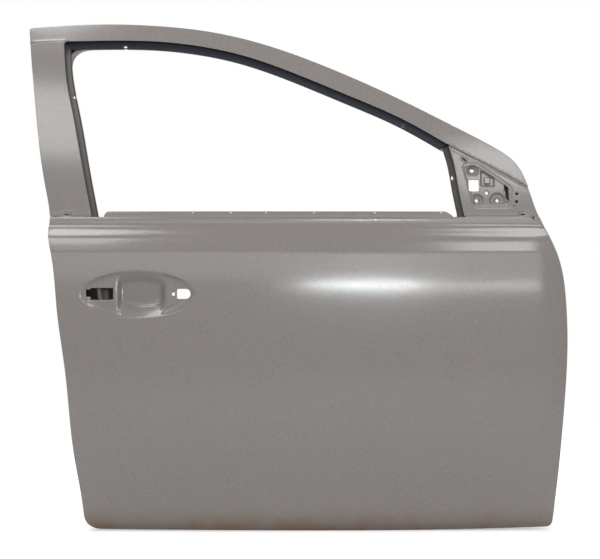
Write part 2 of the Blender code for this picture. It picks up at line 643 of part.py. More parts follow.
# The three sides of the outline and the four sides of the window
rear = Curve([frame_point(s) for s in PILLAR_SHARES] + [body_point(s) for s in REAR_SHARES])
bottom = Curve([body_point(s) for s in BOTTOM_SHARES])
front = Curve([body_point(s) for s in FRONT_SHARES] + [frame_point(s) for s in NOSE_SHARES], fine=900)
rear_places = [crossing(rear, 1, BELT_HEIGHT + FRAME_HEIGHT * s) for s in PILLAR_STATION_SHARES]
rear_places += [crossing(rear, 1, BELT_HEIGHT * s) for s in REAR_STATION_SHARES]
bottom_places = [crossing(bottom, 0, DOOR_LENGTH * s) for s in BOTTOM_STATION_SHARES]
front_places = [crossing(front, 1, BELT_HEIGHT * s) for s in FRONT_STATION_SHARES]
front_places += [crossing(front, 1, BELT_HEIGHT + FRAME_HEIGHT * s) for s in NOSE_STATION_SHARES]
front_places += [crossing(front, 0, DOOR_LENGTH * s) for s in HEADER_STATION_SHARES]
OUTLINE_TURNS = (3, 1, 1)
PILLAR_FIRST = PILLAR_STATION_SHARES.index(PILLAR_START_SHARE) + 1
PILLAR_LAST = len(PILLAR_STATION_SHARES)
SKIN_FIRST = PILLAR_LAST + 1
BOTTOM_FIRST = len(rear_places) + 2 + OUTLINE_TURNS[0]
FRONT_FIRST = BOTTOM_FIRST + len(bottom_places) + 2 + OUTLINE_TURNS[1]
SKIN_LAST = FRONT_FIRST + len(FRONT_STATION_SHARES)
SAIL_FIRST = SKIN_LAST + 1
SAIL_LAST = SAIL_FIRST + NOSE_STATION_SHARES.index(SAIL_END_SHARE)
HEADER_FIRST = SAIL_LAST + 1

window_rear = Curve([frame_point(s) for s in WINDOW_PILLAR_SHARES])
window_bar = Curve([frame_point(s) for s in WINDOW_BAR_SHARES])
window_head = Curve([frame_point(s) for s in WINDOW_HEADER_SHARES])
sail_head = Curve([frame_point(s) for s in SAIL_TOP_SHARES])
window_sill = Curve([window_rear.knots[-1], window_bar.knots[0]], spline=False)
sill_places = [crossing(window_sill, 0, DOOR_LENGTH * s) for s in SILL_STATION_SHARES]
pillar_places = [crossing(window_rear, 1, BELT_HEIGHT + FRAME_HEIGHT * s) for s in WINDOW_PILLAR_STATION_SHARES]
bar_places = [crossing(window_bar, 1, BELT_HEIGHT + FRAME_HEIGHT * s) for s in WINDOW_BAR_STATION_SHARES]
head_places = [crossing(window_head, 0, DOOR_LENGTH * s) for s in WINDOW_HEAD_STATION_SHARES]


def outline(low, high=None, limit=None):
    """Closed ring inside the outline: low is the inset of the body, high that of the frame.

    A limit keeps the ring behind a plane across the door, which makes the hinge wall flat.
    """
    high = low if high is None else high

    def inset(x, z, facing):
        depth = low + (high - low) * ramp(z, BELT_HEIGHT * STEP_LOW_SHARE, BELT_HEIGHT)
        if limit is not None and facing < 0 and x > limit:
            depth = max(depth, (x - limit) / -facing)
        return depth

    corners = [lambda depth, whole=whole: max(whole - depth, LEAST_CORNER, depth * LEAST_CORNER_SHARE)
               for whole in (REAR_CORNER, FRONT_CORNER, TOP_CORNER)]
    return path((rear, bottom, front), (rear_places, bottom_places, front_places), inset, corners, True,
                OUTLINE_TURNS)


def window(inset, corner=SMALL_CORNER, top=None):
    """Closed ring round the window, moved into it by the inset."""
    radii = (corner, corner, corner, corner if top is None else top)
    return path((window_rear, window_sill, window_bar, window_head),
                (pillar_places, sill_places, bar_places, head_places), inset, radii, True, (1, 1, 1, 4))


def normal_of(surface):
    """Function that gives a surface's normal at a point of a ring."""
    return lambda point: Sheet.facing(surface, point[0], point[2])


def inner_face(x, z):
    """Cabin side of the inner panel: flat below the belt, following the frame above it."""
    low, high = BELT_HEIGHT * STEP_LOW_SHARE, BELT_HEIGHT * STEP_HIGH_SHARE
    near = skin(x, max(z, high))
    near += FRAME_DEPTH * stretch(glass_plane, x, max(z, high))
    return BODY_DEPTH + (near - BODY_DEPTH) * ramp(z, low, high)


def shelf(x, z):
    """Weatherstrip shelf that runs round the inner panel."""
    low, high = BELT_HEIGHT * STEP_LOW_SHARE, BELT_HEIGHT * STEP_HIGH_SHARE
    near = skin(x, max(z, high))
    near += FRAME_SHELF * stretch(glass_plane, x, max(z, high))
    return SHELF_DEPTH + (near - SHELF_DEPTH) * ramp(z, low, high)


def recess(x, z):
    """How far the handle recess lies behind the skin."""
    u = (x - DOOR_LENGTH * HANDLE_CENTRE_SHARE[0]) / HANDLE_HALF_LENGTH
    v = (z - BELT_HEIGHT * HANDLE_CENTRE_SHARE[1]) / HANDLE_HALF_HEIGHT
    out = math.hypot(u, v)
    if out >= 1:
        return 0.0
    seat = HANDLE_SEAT_DEPTH * (1 - ramp(out, HANDLE_RIM_SHARES[-1], 1))
    a, b, c, d = HANDLE_BOWL_SHARES
    middle = ramp(u, a, b) * (1 - ramp(u, c, d))
    bowl = HANDLE_BOWL_DEPTH * (1 - out ** HANDLE_BOWL_POWER)
    return seat * (1 - middle) + bowl * middle


def dished(x, z):
    """Skin with its handle recess."""
    return skin(x, z) + recess(x, z)


def handle_loop(shares, corner=HANDLE_CUT_CORNER):
    """Rectangle in the handle recess, from shares of the recess's half sizes."""
    x, z = DOOR_LENGTH * HANDLE_CENTRE_SHARE[0], BELT_HEIGHT * HANDLE_CENTRE_SHARE[1]
    x0, x1 = x + HANDLE_HALF_LENGTH * shares[0], x + HANDLE_HALF_LENGTH * shares[1]
    z0, z1 = z + HANDLE_HALF_HEIGHT * shares[2], z + HANDLE_HALF_HEIGHT * shares[3]
    return box_loop(x0, x1, z0, z1, corner * (x1 - x0))


# Outer panel: the skin with its hem, its pressed shoulder and the handle recess
skin_sheet = Sheet(SKIN_SHEET)
hem = []
for inset, depth in ((HEM_WIDTH, HEM_DEPTH), (HEM_BEND, HEM_DEPTH), (0.0, HEM_DEPTH - HEM_BEND), (0.0, HEM_BEND),
                     (HEM_BEND, 0.0), (EDGE_BAND, 0.0), (CREASE_BANDS[0], 0.0), (CREASE_BANDS[1], 0.0)):
    hem.append(lifted(outline(inset, min(inset, EDGE_BAND))[SKIN_FIRST:SKIN_LAST + 1], depth))
hem = skin_sheet.strips(hem, after=normal_of(skin))
belt_line = [(DOOR_LENGTH * s, BELT_HEIGHT * SKIN_TOP_SHARE) for s in SKIN_COLUMN_SHARES[::-1]]
top = skin_sheet.ring([(x, skin(x, z), z) for x, z in belt_line])
holes = [skin_sheet.ring([(x, dished(x, z), z) for x, z in handle_loop(shares)])
         for shares in (REAR_HOLE_SHARES, FRONT_HOLE_SHARES, CATCH_HOLE_SHARES)]
lines = [[(DOOR_LENGTH * x, BELT_HEIGHT * z)] for x in SKIN_COLUMN_SHARES for z in SKIN_ROW_SHARES]
centre = (DOOR_LENGTH * HANDLE_CENTRE_SHARE[0], BELT_HEIGHT * HANDLE_CENTRE_SHARE[1])
lines = [line for line in lines if math.hypot((line[0][0] - centre[0]) / HANDLE_HALF_LENGTH,
                                              (line[0][1] - centre[1]) / HANDLE_HALF_HEIGHT) > HANDLE_CLEAR_SHARE]
for share in SKIN_CREASE_SHARES:
    lines.append([(DOOR_LENGTH * x, BELT_HEIGHT * share) for x in SKIN_COLUMN_SHARES])
flat = HANDLE_HALF_HEIGHT / HANDLE_HALF_LENGTH
for share in HANDLE_RIM_SHARES:
    rim = circle(centre[0], centre[1], HANDLE_HALF_LENGTH * share, HANDLE_SIDES, flat)
    lines.append(rim + rim[:1])
for u in HANDLE_COLUMN_SHARES:
    for v in HANDLE_ROW_SHARES:
        if math.hypot(u, v) < HANDLE_RIM_SHARES[-1] - HANDLE_ROW_SHARES[-1] / 4:
            lines.append([(centre[0] + HANDLE_HALF_LENGTH * u, centre[1] + HANDLE_HALF_HEIGHT * v)])
skin_sheet.fill(hem[-1] + top, holes, lines, dished)
skin_sheet.make("outer_panel", "primer")

# Inner panel: flange inside the hem, hinge and latch walls, weatherstrip shelf, cabin face and window edge
hinge_wall = DOOR_LENGTH * HINGE_WALL_SHARE
wide = FLANGE_WIDTH + WALL_DRAFT
panel = Sheet(PANEL_SHEET)
rings = [lifted(outline(FLANGE_EDGE), FLANGE_DEPTH),
         lifted(outline(FLANGE_WIDTH, limit=hinge_wall + WALL_BEND_REACH), FLANGE_DEPTH),
         lifted(outline(FLANGE_WIDTH + WALL_DRAFT / 2, limit=hinge_wall), FLANGE_DEPTH + WALL_BEND_DEPTH),
         lifted(outline(wide, limit=hinge_wall), 0.0, shelf),
         lifted(outline(wide + SHELF_WIDTH, wide + FRAME_SHELF_WIDTH, hinge_wall - SHELF_WIDTH), 0.0, shelf),
         lifted(outline(wide + SHELF_WIDTH + WALL_DRAFT, wide + FRAME_SHELF_WIDTH + WALL_DRAFT,
                        hinge_wall - SHELF_WIDTH - WALL_DRAFT), 0.0, inner_face)]
rings = panel.strips(rings, closed=True, after=normal_of(inner_face))
edge = [lifted(window(WINDOW_FACE_REACH, top=WINDOW_CORNER), 0.0, inner_face),
        lifted(window(WINDOW_FACE_REACH - WALL_DRAFT, top=WINDOW_CORNER), WINDOW_FLANGE_DEPTH),
        lifted(window(WINDOW_FLANGE_REACH, top=WINDOW_CORNER), WINDOW_FLANGE_DEPTH)]
edge = panel.strips(edge, closed=True, before=normal_of(inner_face))


def face_loop(points):
    """Hole loop laid on the cabin face."""
    return panel.ring([(x, inner_face(x, z), z) for x, z in points])


openings = [edge[0], face_loop([body_point(s) for s in ACCESS_SHARES]),
            face_loop([body_point(s) for s in LATCH_ACCESS_SHARES]),
            face_loop([body_point(s) for s in WIRING_SHARES]),
            face_loop([frame_point(s) for s in SAIL_OPENING_SHARES]),
            face_loop(circle(*body_point(SPEAKER_SHARE), SPEAKER_RADIUS, SPEAKER_SIDES)),
            face_loop(circle(*body_point(PULL_SHARES[:2]), PULL_SHARES[2], CLIP_SIDES))]
openings += [face_loop(circle(*body_point(s), TRIM_CLIP_RADIUS, CLIP_SIDES)) for s in TRIM_CLIP_SHARES]
for k in range(SPEAKER_SCREWS):
    turn = math.tau * (k + 1 / 2) / SPEAKER_SCREWS
    x, z = body_point(SPEAKER_SHARE)
    openings.append(face_loop(circle(x + SPEAKER_SCREW_CIRCLE * math.cos(turn),
                                     z + SPEAKER_SCREW_CIRCLE * math.sin(turn), SPEAKER_SCREW_RADIUS, CLIP_SIDES)))
steps = [[body_point((x, z)) for x in STEP_COLUMN_SHARES] for z in STEP_ROW_SHARES]
panel.fill(rings[-1], openings, steps, inner_face)
inner_panel = panel.make("inner_panel", "primer")


def hinge_cutters(centre, name):
    """Round cutters for one hinge's bolts, side by side across the wall."""
    x0, x1 = hinge_wall - CUT_OVERRUN, hinge_wall + PANEL_SHEET + CUT_OVERRUN
    return [cutter(f"{name}_{k}", circle(HINGE_LINE_DEPTH + side * HINGE_HOLE_OFFSET,
                                         BELT_HEIGHT * centre + side * HINGE_HOLE_SPREAD, HINGE_HOLE_RADIUS, BOLT_SIDES),
                   x0, x1) for k, side in enumerate((-1, 1))]


def cutter(name, outline, low, high, axis=0):
    """Hidden body that a Boolean takes out of a wall."""
    tool = prism(name, outline, low, high, "primer", axis=axis)
    tool.hide_render = True
    tool.display_type = "WIRE"
    return tool


def cut(piece, tools):
    for tool in tools:
        change = piece.modifiers.new(tool.name, "BOOLEAN")
        change.operation = "DIFFERENCE"
        change.solver = "EXACT"
        change.object = tool


cut(inner_panel, hinge_cutters(UPPER_HINGE_SHARE, "upper_hinge_cut") + hinge_cutters(LOWER_HINGE_SHARE, "lower_hinge_cut")
    + [cutter("check_cut", box_loop(HINGE_LINE_DEPTH - CHECK_HALF_WIDTH, HINGE_LINE_DEPTH + CHECK_HALF_WIDTH,
                                    BELT_HEIGHT * CHECK_SHARE - CHECK_HALF_HEIGHT,
                                    BELT_HEIGHT * CHECK_SHARE + CHECK_HALF_HEIGHT),
              hinge_wall - CUT_OVERRUN, hinge_wall + PANEL_SHEET + CUT_OVERRUN),
       cutter("loom_cut", circle(HINGE_LINE_DEPTH, BELT_HEIGHT * LOOM_SHARE, LOOM_RADIUS, BOLT_SIDES),
              hinge_wall - CUT_OVERRUN, hinge_wall + PANEL_SHEET + CUT_OVERRUN),
       cutter("latch_cut", box_loop(LATCH_DEPTHS[0], LATCH_DEPTHS[1], BELT_HEIGHT * LATCH_SHARE - LATCH_HALF_HEIGHT,
                                    BELT_HEIGHT * LATCH_SHARE + LATCH_HALF_HEIGHT),
              DOOR_LENGTH * LATCH_CUT_SHARES[0], DOOR_LENGTH * LATCH_CUT_SHARES[1])])

# Window frame from outside: rear pillar, header and mirror sail, with tongues that tuck behind the skin
tuck_low, tuck_high = (BELT_HEIGHT * s for s in TUCK_SHARES_OF_BELT)


def tucked(x, z):
    """Frame surface that steps behind the skin below the belt."""
    behind = (SKIN_SHEET + 2 * SHEET_GAP) * (1 - ramp(z, tuck_low, tuck_high))
    return skin(x, z) + behind * (stretch(skin, x, z) if z < tuck_high else 1.0)


def sash_edge(curve, places):
    """Rings of a sash's window edge along one window curve, from the face to the end of the return."""
    rings = []
    for inset, depth in ((-HEM_BEND, 0.0), (0.0, HEM_BEND), (0.0, SASH_RETURN)):
        rings.append(lifted([curve.moved(place, inset)[0] for place in places], depth))
    return rings


hem_rings = [(HEM_WIDTH, HEM_DEPTH), (HEM_BEND, HEM_DEPTH), (0.0, HEM_DEPTH - HEM_BEND), (0.0, HEM_BEND),
             (HEM_BEND, 0.0), (EDGE_BAND, 0.0)]
pillar = Sheet(SKIN_SHEET)
sides = pillar.strips([lifted(outline(inset)[PILLAR_FIRST:PILLAR_LAST + 1], depth) for inset, depth in hem_rings],
                      after=normal_of(skin))
places = [crossing(window_rear, 1, BELT_HEIGHT + FRAME_HEIGHT * s) for s in PILLAR_EDGE_SHARES]
returns = pillar.strips(sash_edge(window_rear, places), before=normal_of(skin))
tongue = [frame_point(s) for s in PILLAR_TONGUE_SHARES]
tongue = pillar.ring([(x, tucked(x, z), z) for x, z in tongue])
pillar.fill(sides[-1] + tongue + returns[0][::-1], lift=tucked)
pillar.make("pillar_outer", "primer")

header = Sheet(SKIN_SHEET)
rings = []
for inset, depth in hem_rings:
    ring = outline(inset)
    rings.append(lifted(np.concatenate([ring[HEADER_FIRST:], ring[:PILLAR_FIRST]]), depth))
sides = header.strips(rings, after=normal_of(skin))
places = [LEAST_CORNER] + head_places + [window_head.length - FRAME_GAP]
returns = header.strips(sash_edge(window_head, places), before=normal_of(skin))
seam = [window_rear.moved(crossing(window_rear, 1, BELT_HEIGHT + FRAME_HEIGHT * HEADER_SEAM_SHARE), -HEM_BEND)[0]]
lap = [sail_head.moved(sail_head.length * s, 0.0)[0] for s in SAIL_LAP_SHARES]
extra = header.ring([(x, skin(x, z), z) for x, z in seam])
under = header.ring([(x, skin(x, z), z) for x, z in lap])
header.fill(sides[-1] + extra + returns[0][::-1] + under, lift=skin)
header.make("header_outer", "primer")


def polygon_depth(loop, x, z, slope):
    """0 outside a convex field, and rising to 1 one slope width inside its edge."""
    depth = slope
    for (ax, az), (bx, bz) in zip(loop, loop[1:] + loop[:1]):
        length = math.hypot(bx - ax, bz - az)
        depth = min(depth, ((bx - ax) * (z - az) - (bz - az) * (x - ax)) / length)
    return ramp(depth, 0.0, slope)


sail_field = [frame_point(s) for s in SAIL_FIELD_SHARES]


def pressed(x, z):
    """Mirror sail with its pressed field."""
    return tucked(x, z) + SAIL_PRESS_DEPTH * polygon_depth(sail_field, x, z, SAIL_PRESS_SLOPE)


sail = Sheet(SKIN_SHEET)
sides = sail.strips([lifted(outline(inset)[SAIL_FIRST:SAIL_LAST + 1], 0.0) for inset in (FLANGE_EDGE, EDGE_BAND)],
                    after=normal_of(skin))
places = [crossing(window_bar, 1, BELT_HEIGHT + FRAME_HEIGHT * s) for s in BAR_EDGE_SHARES]
returns = sail.strips(sash_edge(window_bar, places), before=normal_of(skin))
tongue = sail.ring([(x, tucked(x, z), z) for x, z in [frame_point(s) for s in SAIL_TONGUE_SHARES]])
lap = [sail_head.moved(sail_head.length * s, FRAME_GAP)[0] for s in SAIL_LAP_SHARES[::-1]]
under = sail.ring([(x, skin(x, z), z) for x, z in lap])
holes = [sail.ring([(x, pressed(x, z), z) for x, z in circle(*frame_point(s[:2]), s[2], HOLE_SIDES)])
         for s in SAIL_HOLE_SHARES]
x0, x1, z0, z1 = SAIL_WINDOW_SHARES
low, high = frame_point((x0, z0)), frame_point((x1, z1))
opening = box_loop(low[0], high[0], low[1], high[1], SAIL_PRESS_SLOPE)
holes.append(sail.ring([(x, pressed(x, z), z) for x, z in opening]))
middle = np.mean(sail_field, axis=0)
inner = [tuple(middle + (np.array(p) - middle) * (1 - SAIL_FLOOR_SHARE)) for p in sail_field]
sail.fill(returns[0][::-1] + tongue + sides[-1] + under, holes,
          [sail_field + sail_field[:1], inner + inner[:1]] + [[point] for point in map(frame_point, SAIL_POINT_SHARES)],
          lift=pressed)
sail.make("sail_panel", "primer")

# Glass channel in three runs: rear run down into the body, header run, and front division bar


def channel(name, curve, places, reach):
    """U-shaped glass channel that follows a window curve, open towards the glass."""
    run = Sheet(PANEL_SHEET)
    rings = []
    for inset, depth in ((reach, CHANNEL_BACK), (-CHANNEL_BASE, CHANNEL_BACK), (-CHANNEL_BASE, CHANNEL_FRONT),
                         (-CHANNEL_LIP, CHANNEL_FRONT)):
        points = [curve.moved(place, inset)[0] for place in places]
        rings.append(lifted(points, depth, glass_plane))
    run.strips(rings)
    return run.make(name, "channel_coat")


rear_run = Curve([frame_point(s) for s in WINDOW_PILLAR_SHARES + RUN_REAR_SHARES])
front_run = Curve([frame_point(s) for s in RUN_BAR_SHARES + WINDOW_BAR_SHARES])
channel("rear_channel", rear_run, [crossing(rear_run, 1, BELT_HEIGHT + FRAME_HEIGHT * s)
                                   for s in REAR_RUN_STATION_SHARES], CHANNEL_REACH)
channel("front_channel", front_run, [crossing(front_run, 1, BELT_HEIGHT + FRAME_HEIGHT * s)
                                     for s in FRONT_RUN_STATION_SHARES], CHANNEL_REACH)
channel("header_channel", window_head, [window_head.length * HEADER_RUN_SHARES[0]] + head_places[1:]
        + [window_head.length * HEADER_RUN_SHARES[1]], HEADER_REACH)


def strap(name, x, z0, z1, y0, y1, flange):
    """Angle bracket that carries a channel's foot from the cabin face, seen from above."""
    t = STIFFENER_SHEET
    outline = [(x, y0), (x + flange, y0), (x + flange, y0 + t), (x + t, y0 + t), (x + t, y1 - t), (x + flange, y1 - t),
               (x + flange, y1), (x, y1)]
    return prism(name, outline, z0, z1, "primer", axis=2)


for name, run, share, side in (("rear_channel_bracket", rear_run, CHANNEL_FOOT_SHARES[0], 1),
                               ("front_channel_bracket", front_run, CHANNEL_FOOT_SHARES[1], 1)):
    z = BELT_HEIGHT + FRAME_HEIGHT * CHANNEL_STRAP_SHARE
    x = run.at(crossing(run, 1, z))[0][0]
    y = glass_plane(x, z) + CHANNEL_BACK + STRAP_CLEARANCE
    strap(name, x + DOOR_LENGTH * share, z - FOOT_STRAP_WIDTH / 2, z + FOOT_STRAP_WIDTH / 2, y, BODY_DEPTH - SHEET_GAP,
          FOOT_STRAP_WIDTH)

# Belt reinforcements
belt_outer = Sheet(STIFFENER_SHEET)
rows = []
for share, depth in BELT_OUTER_PROFILE:
    z = BELT_HEIGHT * share
    low, high = BELT_OUTER_SHARES
    if share == BELT_OUTER_PROFILE[-1][0]:
        low, high = low + BELT_END_SHARE, high - BELT_END_SHARE
    row = []
    for s in BELT_COLUMN_SHARES:
        x = DOOR_LENGTH * (low + (high - low) * s)
        row.append((x, skin(x, z) + depth * stretch(skin, x, min(z, BELT_HEIGHT)), z))
    rows.append(np.array(row))
belt_outer.strips(rows)
belt_outer.make("belt_reinforcement_outer", "channel_coat")

x0, x1, z0, z1 = BELT_INNER_SHARES
back = BODY_DEPTH - SHEET_GAP
prism("belt_reinforcement_inner", box_loop(DOOR_LENGTH * x0, DOOR_LENGTH * x1, BELT_HEIGHT * z0, BELT_HEIGHT * z1,
                                           SAIL_PRESS_SLOPE), back - STIFFENER_SHEET, back, "zinc_steel")

# Hinge side: plates inside the wall, and the nuts plates behind them


def wall_plate(name, centre, half, depths, behind, thickness, material, holes):
    """Flat plate inside the hinge wall, with bolt holes across it."""
    z = BELT_HEIGHT * centre
    outline = box_loop(depths[0], depths[1], z - half, z + half, SAIL_PRESS_SLOPE)
    return prism(name, outline, hinge_wall - behind - thickness, hinge_wall - behind, material, holes, axis=0)


def bolt_loops(centre):
    return [circle(HINGE_LINE_DEPTH + side * HINGE_HOLE_OFFSET, BELT_HEIGHT * centre + side * HINGE_HOLE_SPREAD,
                   HINGE_HOLE_RADIUS, BOLT_SIDES) for side in (-1, 1)]


for word, centre in (("upper", UPPER_HINGE_SHARE), ("lower", LOWER_HINGE_SHARE)):
    wall_plate(f"{word}_hinge_reinforcement", centre, HINGE_PLATE_HALF_HEIGHT, HINGE_PLATE_DEPTHS, SHEET_GAP,
               HINGE_SHEET, "zinc_steel", bolt_loops(centre))
    wall_plate(f"{word}_hinge_nut_plate", centre, TAPPING_HALF_HEIGHT, TAPPING_DEPTHS,
               2 * SHEET_GAP + HINGE_SHEET, TAPPING_THICKNESS, "zinc_steel", bolt_loops(centre))
check_hole = box_loop(HINGE_LINE_DEPTH - CHECK_HALF_WIDTH, HINGE_LINE_DEPTH + CHECK_HALF_WIDTH,
                      BELT_HEIGHT * CHECK_SHARE - CHECK_HALF_HEIGHT, BELT_HEIGHT * CHECK_SHARE + CHECK_HALF_HEIGHT)
wall_plate("check_link_reinforcement", CHECK_SHARE, CHECK_PLATE_HALF_HEIGHT, HINGE_PLATE_DEPTHS, SHEET_GAP,
           STIFFENER_SHEET, "zinc_steel", [check_hole])

# Latch side: sheet that follows the inside of the latch wall
first, last = (SKIN_FIRST + REAR_STATION_SHARES.index(s) for s in LATCH_STATION_SHARES)
latch = Sheet(STIFFENER_SHEET)
depth = wide + STIFFENER_SHEET + SHEET_GAP
rows = []
for y in LATCH_PLATE_DEPTHS:
    rows.append(np.array([(x, y, z) for x, z in outline(depth)[first:last + 1]]))
latch.strips(rows)
latch_plate = latch.make("latch_reinforcement", "zinc_steel")
cut(latch_plate, [bpy.data.objects["latch_cut"]])

# Side impact beam: a tube between two end plates, with pads to the skin


def tube(name, start, end, radius, wall, sides, material):
    """Straight open tube between two points."""
    start, end = Vector(start), Vector(end)
    axis = (end - start).normalized()
    across = axis.cross(Vector((0, 1, 0))).normalized()
    up = across.cross(axis)
    points = []
    for place, size in ((start, radius), (end, radius), (end, radius - wall), (start, radius - wall)):
        for k in range(sides):
            turn = math.tau * k / sides
            points.append(place + across * (size * math.cos(turn)) + up * (size * math.sin(turn)))
    faces = []
    for ring in range(4):
        for k in range(sides):
            j = (k + 1) % sides
            other = (ring + 1) % 4
            faces.append((ring * sides + k, ring * sides + j, other * sides + j, other * sides + k))
    return body(name, points, faces, material)


beam_rear = (DOOR_LENGTH * BEAM_REAR_SHARE[0], BEAM_DEPTHS[0], BELT_HEIGHT * BEAM_REAR_SHARE[1])
beam_front = (DOOR_LENGTH * BEAM_FRONT_SHARE[0], BEAM_DEPTHS[1], BELT_HEIGHT * BEAM_FRONT_SHARE[1])
tube("impact_beam", beam_rear, beam_front, BEAM_RADIUS, BEAM_WALL, BEAM_SIDES, "zinc_steel")


def beam_at(x):
    """Centre of the beam where it passes a place along the door."""
    share = (x - beam_rear[0]) / (beam_front[0] - beam_rear[0])
    return [a + (b - a) * share for a, b in zip(beam_rear, beam_front)]


for name, x0, x1 in (("impact_beam_bracket_rear", DOOR_LENGTH * BEAM_PLATE_SHARES[0], DOOR_LENGTH * BEAM_PLATE_SHARES[1]),
                     ("impact_beam_bracket_front", DOOR_LENGTH * BEAM_PLATE_SHARES[2],
                      DOOR_LENGTH * BEAM_PLATE_SHARES[3])):
    low, high = beam_at(x0), beam_at(x1)
    y = max(low[1], high[1]) + BEAM_RADIUS + SHEET_GAP
    z = (low[2] + high[2]) / 2
    prism(name, box_loop(x0, x1, z - BEAM_PLATE_HALF_HEIGHT, z + BEAM_PLATE_HALF_HEIGHT, BEAM_RADIUS / 2),
          y, y + HINGE_SHEET, "zinc_steel")
for k, share in enumerate(PAD_SHARES):
    x = DOOR_LENGTH * share
    y, z = beam_at(x)[1:]
    near = max(skin(x + side * PAD_HALF_LENGTH, z + up * PAD_HALF_HEIGHT) for side in (-1, 0, 1) for up in (-1, 1))
    prism(f"anti_flutter_pad_{k + 1}", box_loop(x - PAD_HALF_LENGTH, x + PAD_HALF_LENGTH, z - PAD_HALF_HEIGHT,
                                                 z + PAD_HALF_HEIGHT, PAD_HALF_HEIGHT / 3),
          near + SKIN_SHEET + 2 * SHEET_GAP, y - BEAM_RADIUS - SHEET_GAP, "mastic")

# Mirror plate behind the sail, its weld nuts, handle plates, corner gusset and trim nuts


def laid_plate(name, outline, depth, surface, thickness, material, holes=()):
    """Plate that follows a surface at a fixed depth."""
    plate = Sheet(thickness)
    place = lambda x, z: surface(x, z) + depth * stretch(skin, x, z)
    around = plate.ring([(x, place(x, z), z) for x, z in outline])
    gaps = [plate.ring([(x, place(x, z), z) for x, z in hole]) for hole in holes]
    plate.fill(around, gaps, lift=place)
    return plate.make(name, material)


def nut(name, x, z, surface, depth):
    """Six-sided weld nut with a plain bore, seated square on a surface."""
    normal = Vector([float(v) for v in Sheet.facing(surface, x, z)])
    seat = Vector((x, surface(x, z), z)) + normal * depth
    piece = prism(name, circle(0.0, 0.0, NUT_RADIUS, HEX_SIDES), 0.0, NUT_HEIGHT, "zinc_steel",
                  [circle(0.0, 0.0, NUT_BORE, CLIP_SIDES)])
    piece.data.transform(Matrix.Translation(seat) @ Vector((0.0, 1.0, 0.0)).rotation_difference(normal).to_matrix()
                         .to_4x4())
    return piece


mirror_holes = [circle(*frame_point(s), NUT_RADIUS / 2, CLIP_SIDES) for s in MIRROR_NUT_SHARES]
laid_plate("mirror_reinforcement", [frame_point(s) for s in MIRROR_PLATE_SHARES], SKIN_SHEET + SHEET_GAP, pressed,
           HINGE_SHEET, "zinc_steel", mirror_holes)
for k, share in enumerate(MIRROR_NUT_SHARES):
    x, z = frame_point(share)
    nut(f"mirror_weld_nut_{k + 1}", x, z, pressed, SKIN_SHEET + HINGE_SHEET + 2 * SHEET_GAP)
for word, shares, hole in (("rear", HANDLE_PLATE_SHARES[0], REAR_HOLE_SHARES),
                           ("front", HANDLE_PLATE_SHARES[1], FRONT_HOLE_SHARES)):
    around = handle_loop(shares, HANDLE_PLATE_CUT)
    back = max(dished(x, z) for x, z in around if recess(x, z) > 0)
    back = max(back, max(skin(x, z) for x, z in around) + HANDLE_SEAT_DEPTH) + SKIN_SHEET + 2 * SHEET_GAP
    gap = handle_loop(hole)
    low, high = np.min(gap, axis=0) - HANDLE_PLATE_MARGIN, np.max(gap, axis=0) + HANDLE_PLATE_MARGIN
    prism(f"handle_bracket_{word}", around, back, back + STIFFENER_SHEET, "zinc_steel",
          [box_loop(low[0], high[0], low[1], high[1])])
laid_plate("frame_corner_gusset", [frame_point(s) for s in CORNER_PLATE_SHARES],
           FRAME_DEPTH - STIFFENER_SHEET - SHEET_GAP, glass_plane, STIFFENER_SHEET, "zinc_steel")
for k, share in enumerate(TRIM_NUT_SHARES):
    x, z = body_point(share)
    nut(f"trim_weld_nut_{k + 1}", x, z, inner_face, PANEL_SHEET + SHEET_GAP)
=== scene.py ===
"""Looks of a bare car door: finely pressed sheets, primer and zinc finishes, soft studio light and camera.

Design frame: x runs from the rear of the door to its front, y from the outer skin to the cabin, z up.
Finished pieces are moved by one shift to the frame's origin on the upper hinge's mounting face.
"""

import json
import math

import bmesh
import bpy
import numpy as np
from mathutils import Matrix, Vector
from mathutils.geometry import delaunay_2d_cdt
from mathutils.kdtree import KDTree


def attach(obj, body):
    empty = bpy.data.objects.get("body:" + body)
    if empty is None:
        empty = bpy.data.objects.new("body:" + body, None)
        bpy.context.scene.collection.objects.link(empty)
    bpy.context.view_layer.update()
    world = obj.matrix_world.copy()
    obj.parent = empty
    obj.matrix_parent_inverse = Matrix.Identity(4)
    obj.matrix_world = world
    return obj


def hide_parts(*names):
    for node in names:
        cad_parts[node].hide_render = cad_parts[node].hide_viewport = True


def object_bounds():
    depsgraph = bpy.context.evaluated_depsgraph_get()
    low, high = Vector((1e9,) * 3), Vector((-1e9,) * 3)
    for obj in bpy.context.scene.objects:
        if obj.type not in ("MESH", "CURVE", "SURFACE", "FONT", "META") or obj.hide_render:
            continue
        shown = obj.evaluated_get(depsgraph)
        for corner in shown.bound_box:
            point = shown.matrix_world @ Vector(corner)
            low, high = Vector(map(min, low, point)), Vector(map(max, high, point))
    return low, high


bl_info = {
    "name": "Car door shell",
    "version": (1, 0, 0),
    "blender": (4, 5, 0),
    "location": "3D View > Sidebar > Door",
    "description": "Builds the visible sheets of a bare car door over its packed frame",
    "category": "Object",
}

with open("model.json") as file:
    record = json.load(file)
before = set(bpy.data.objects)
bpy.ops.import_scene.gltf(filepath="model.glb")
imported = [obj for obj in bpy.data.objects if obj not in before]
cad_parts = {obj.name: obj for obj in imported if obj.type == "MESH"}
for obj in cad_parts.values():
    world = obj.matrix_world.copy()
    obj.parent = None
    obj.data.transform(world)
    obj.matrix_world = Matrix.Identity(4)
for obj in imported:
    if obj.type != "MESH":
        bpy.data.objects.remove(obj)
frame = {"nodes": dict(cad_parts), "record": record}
CAD_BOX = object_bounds()
SLOTS = {part["node"]: part["material_slot"] for part in frame["record"]["subparts"]}

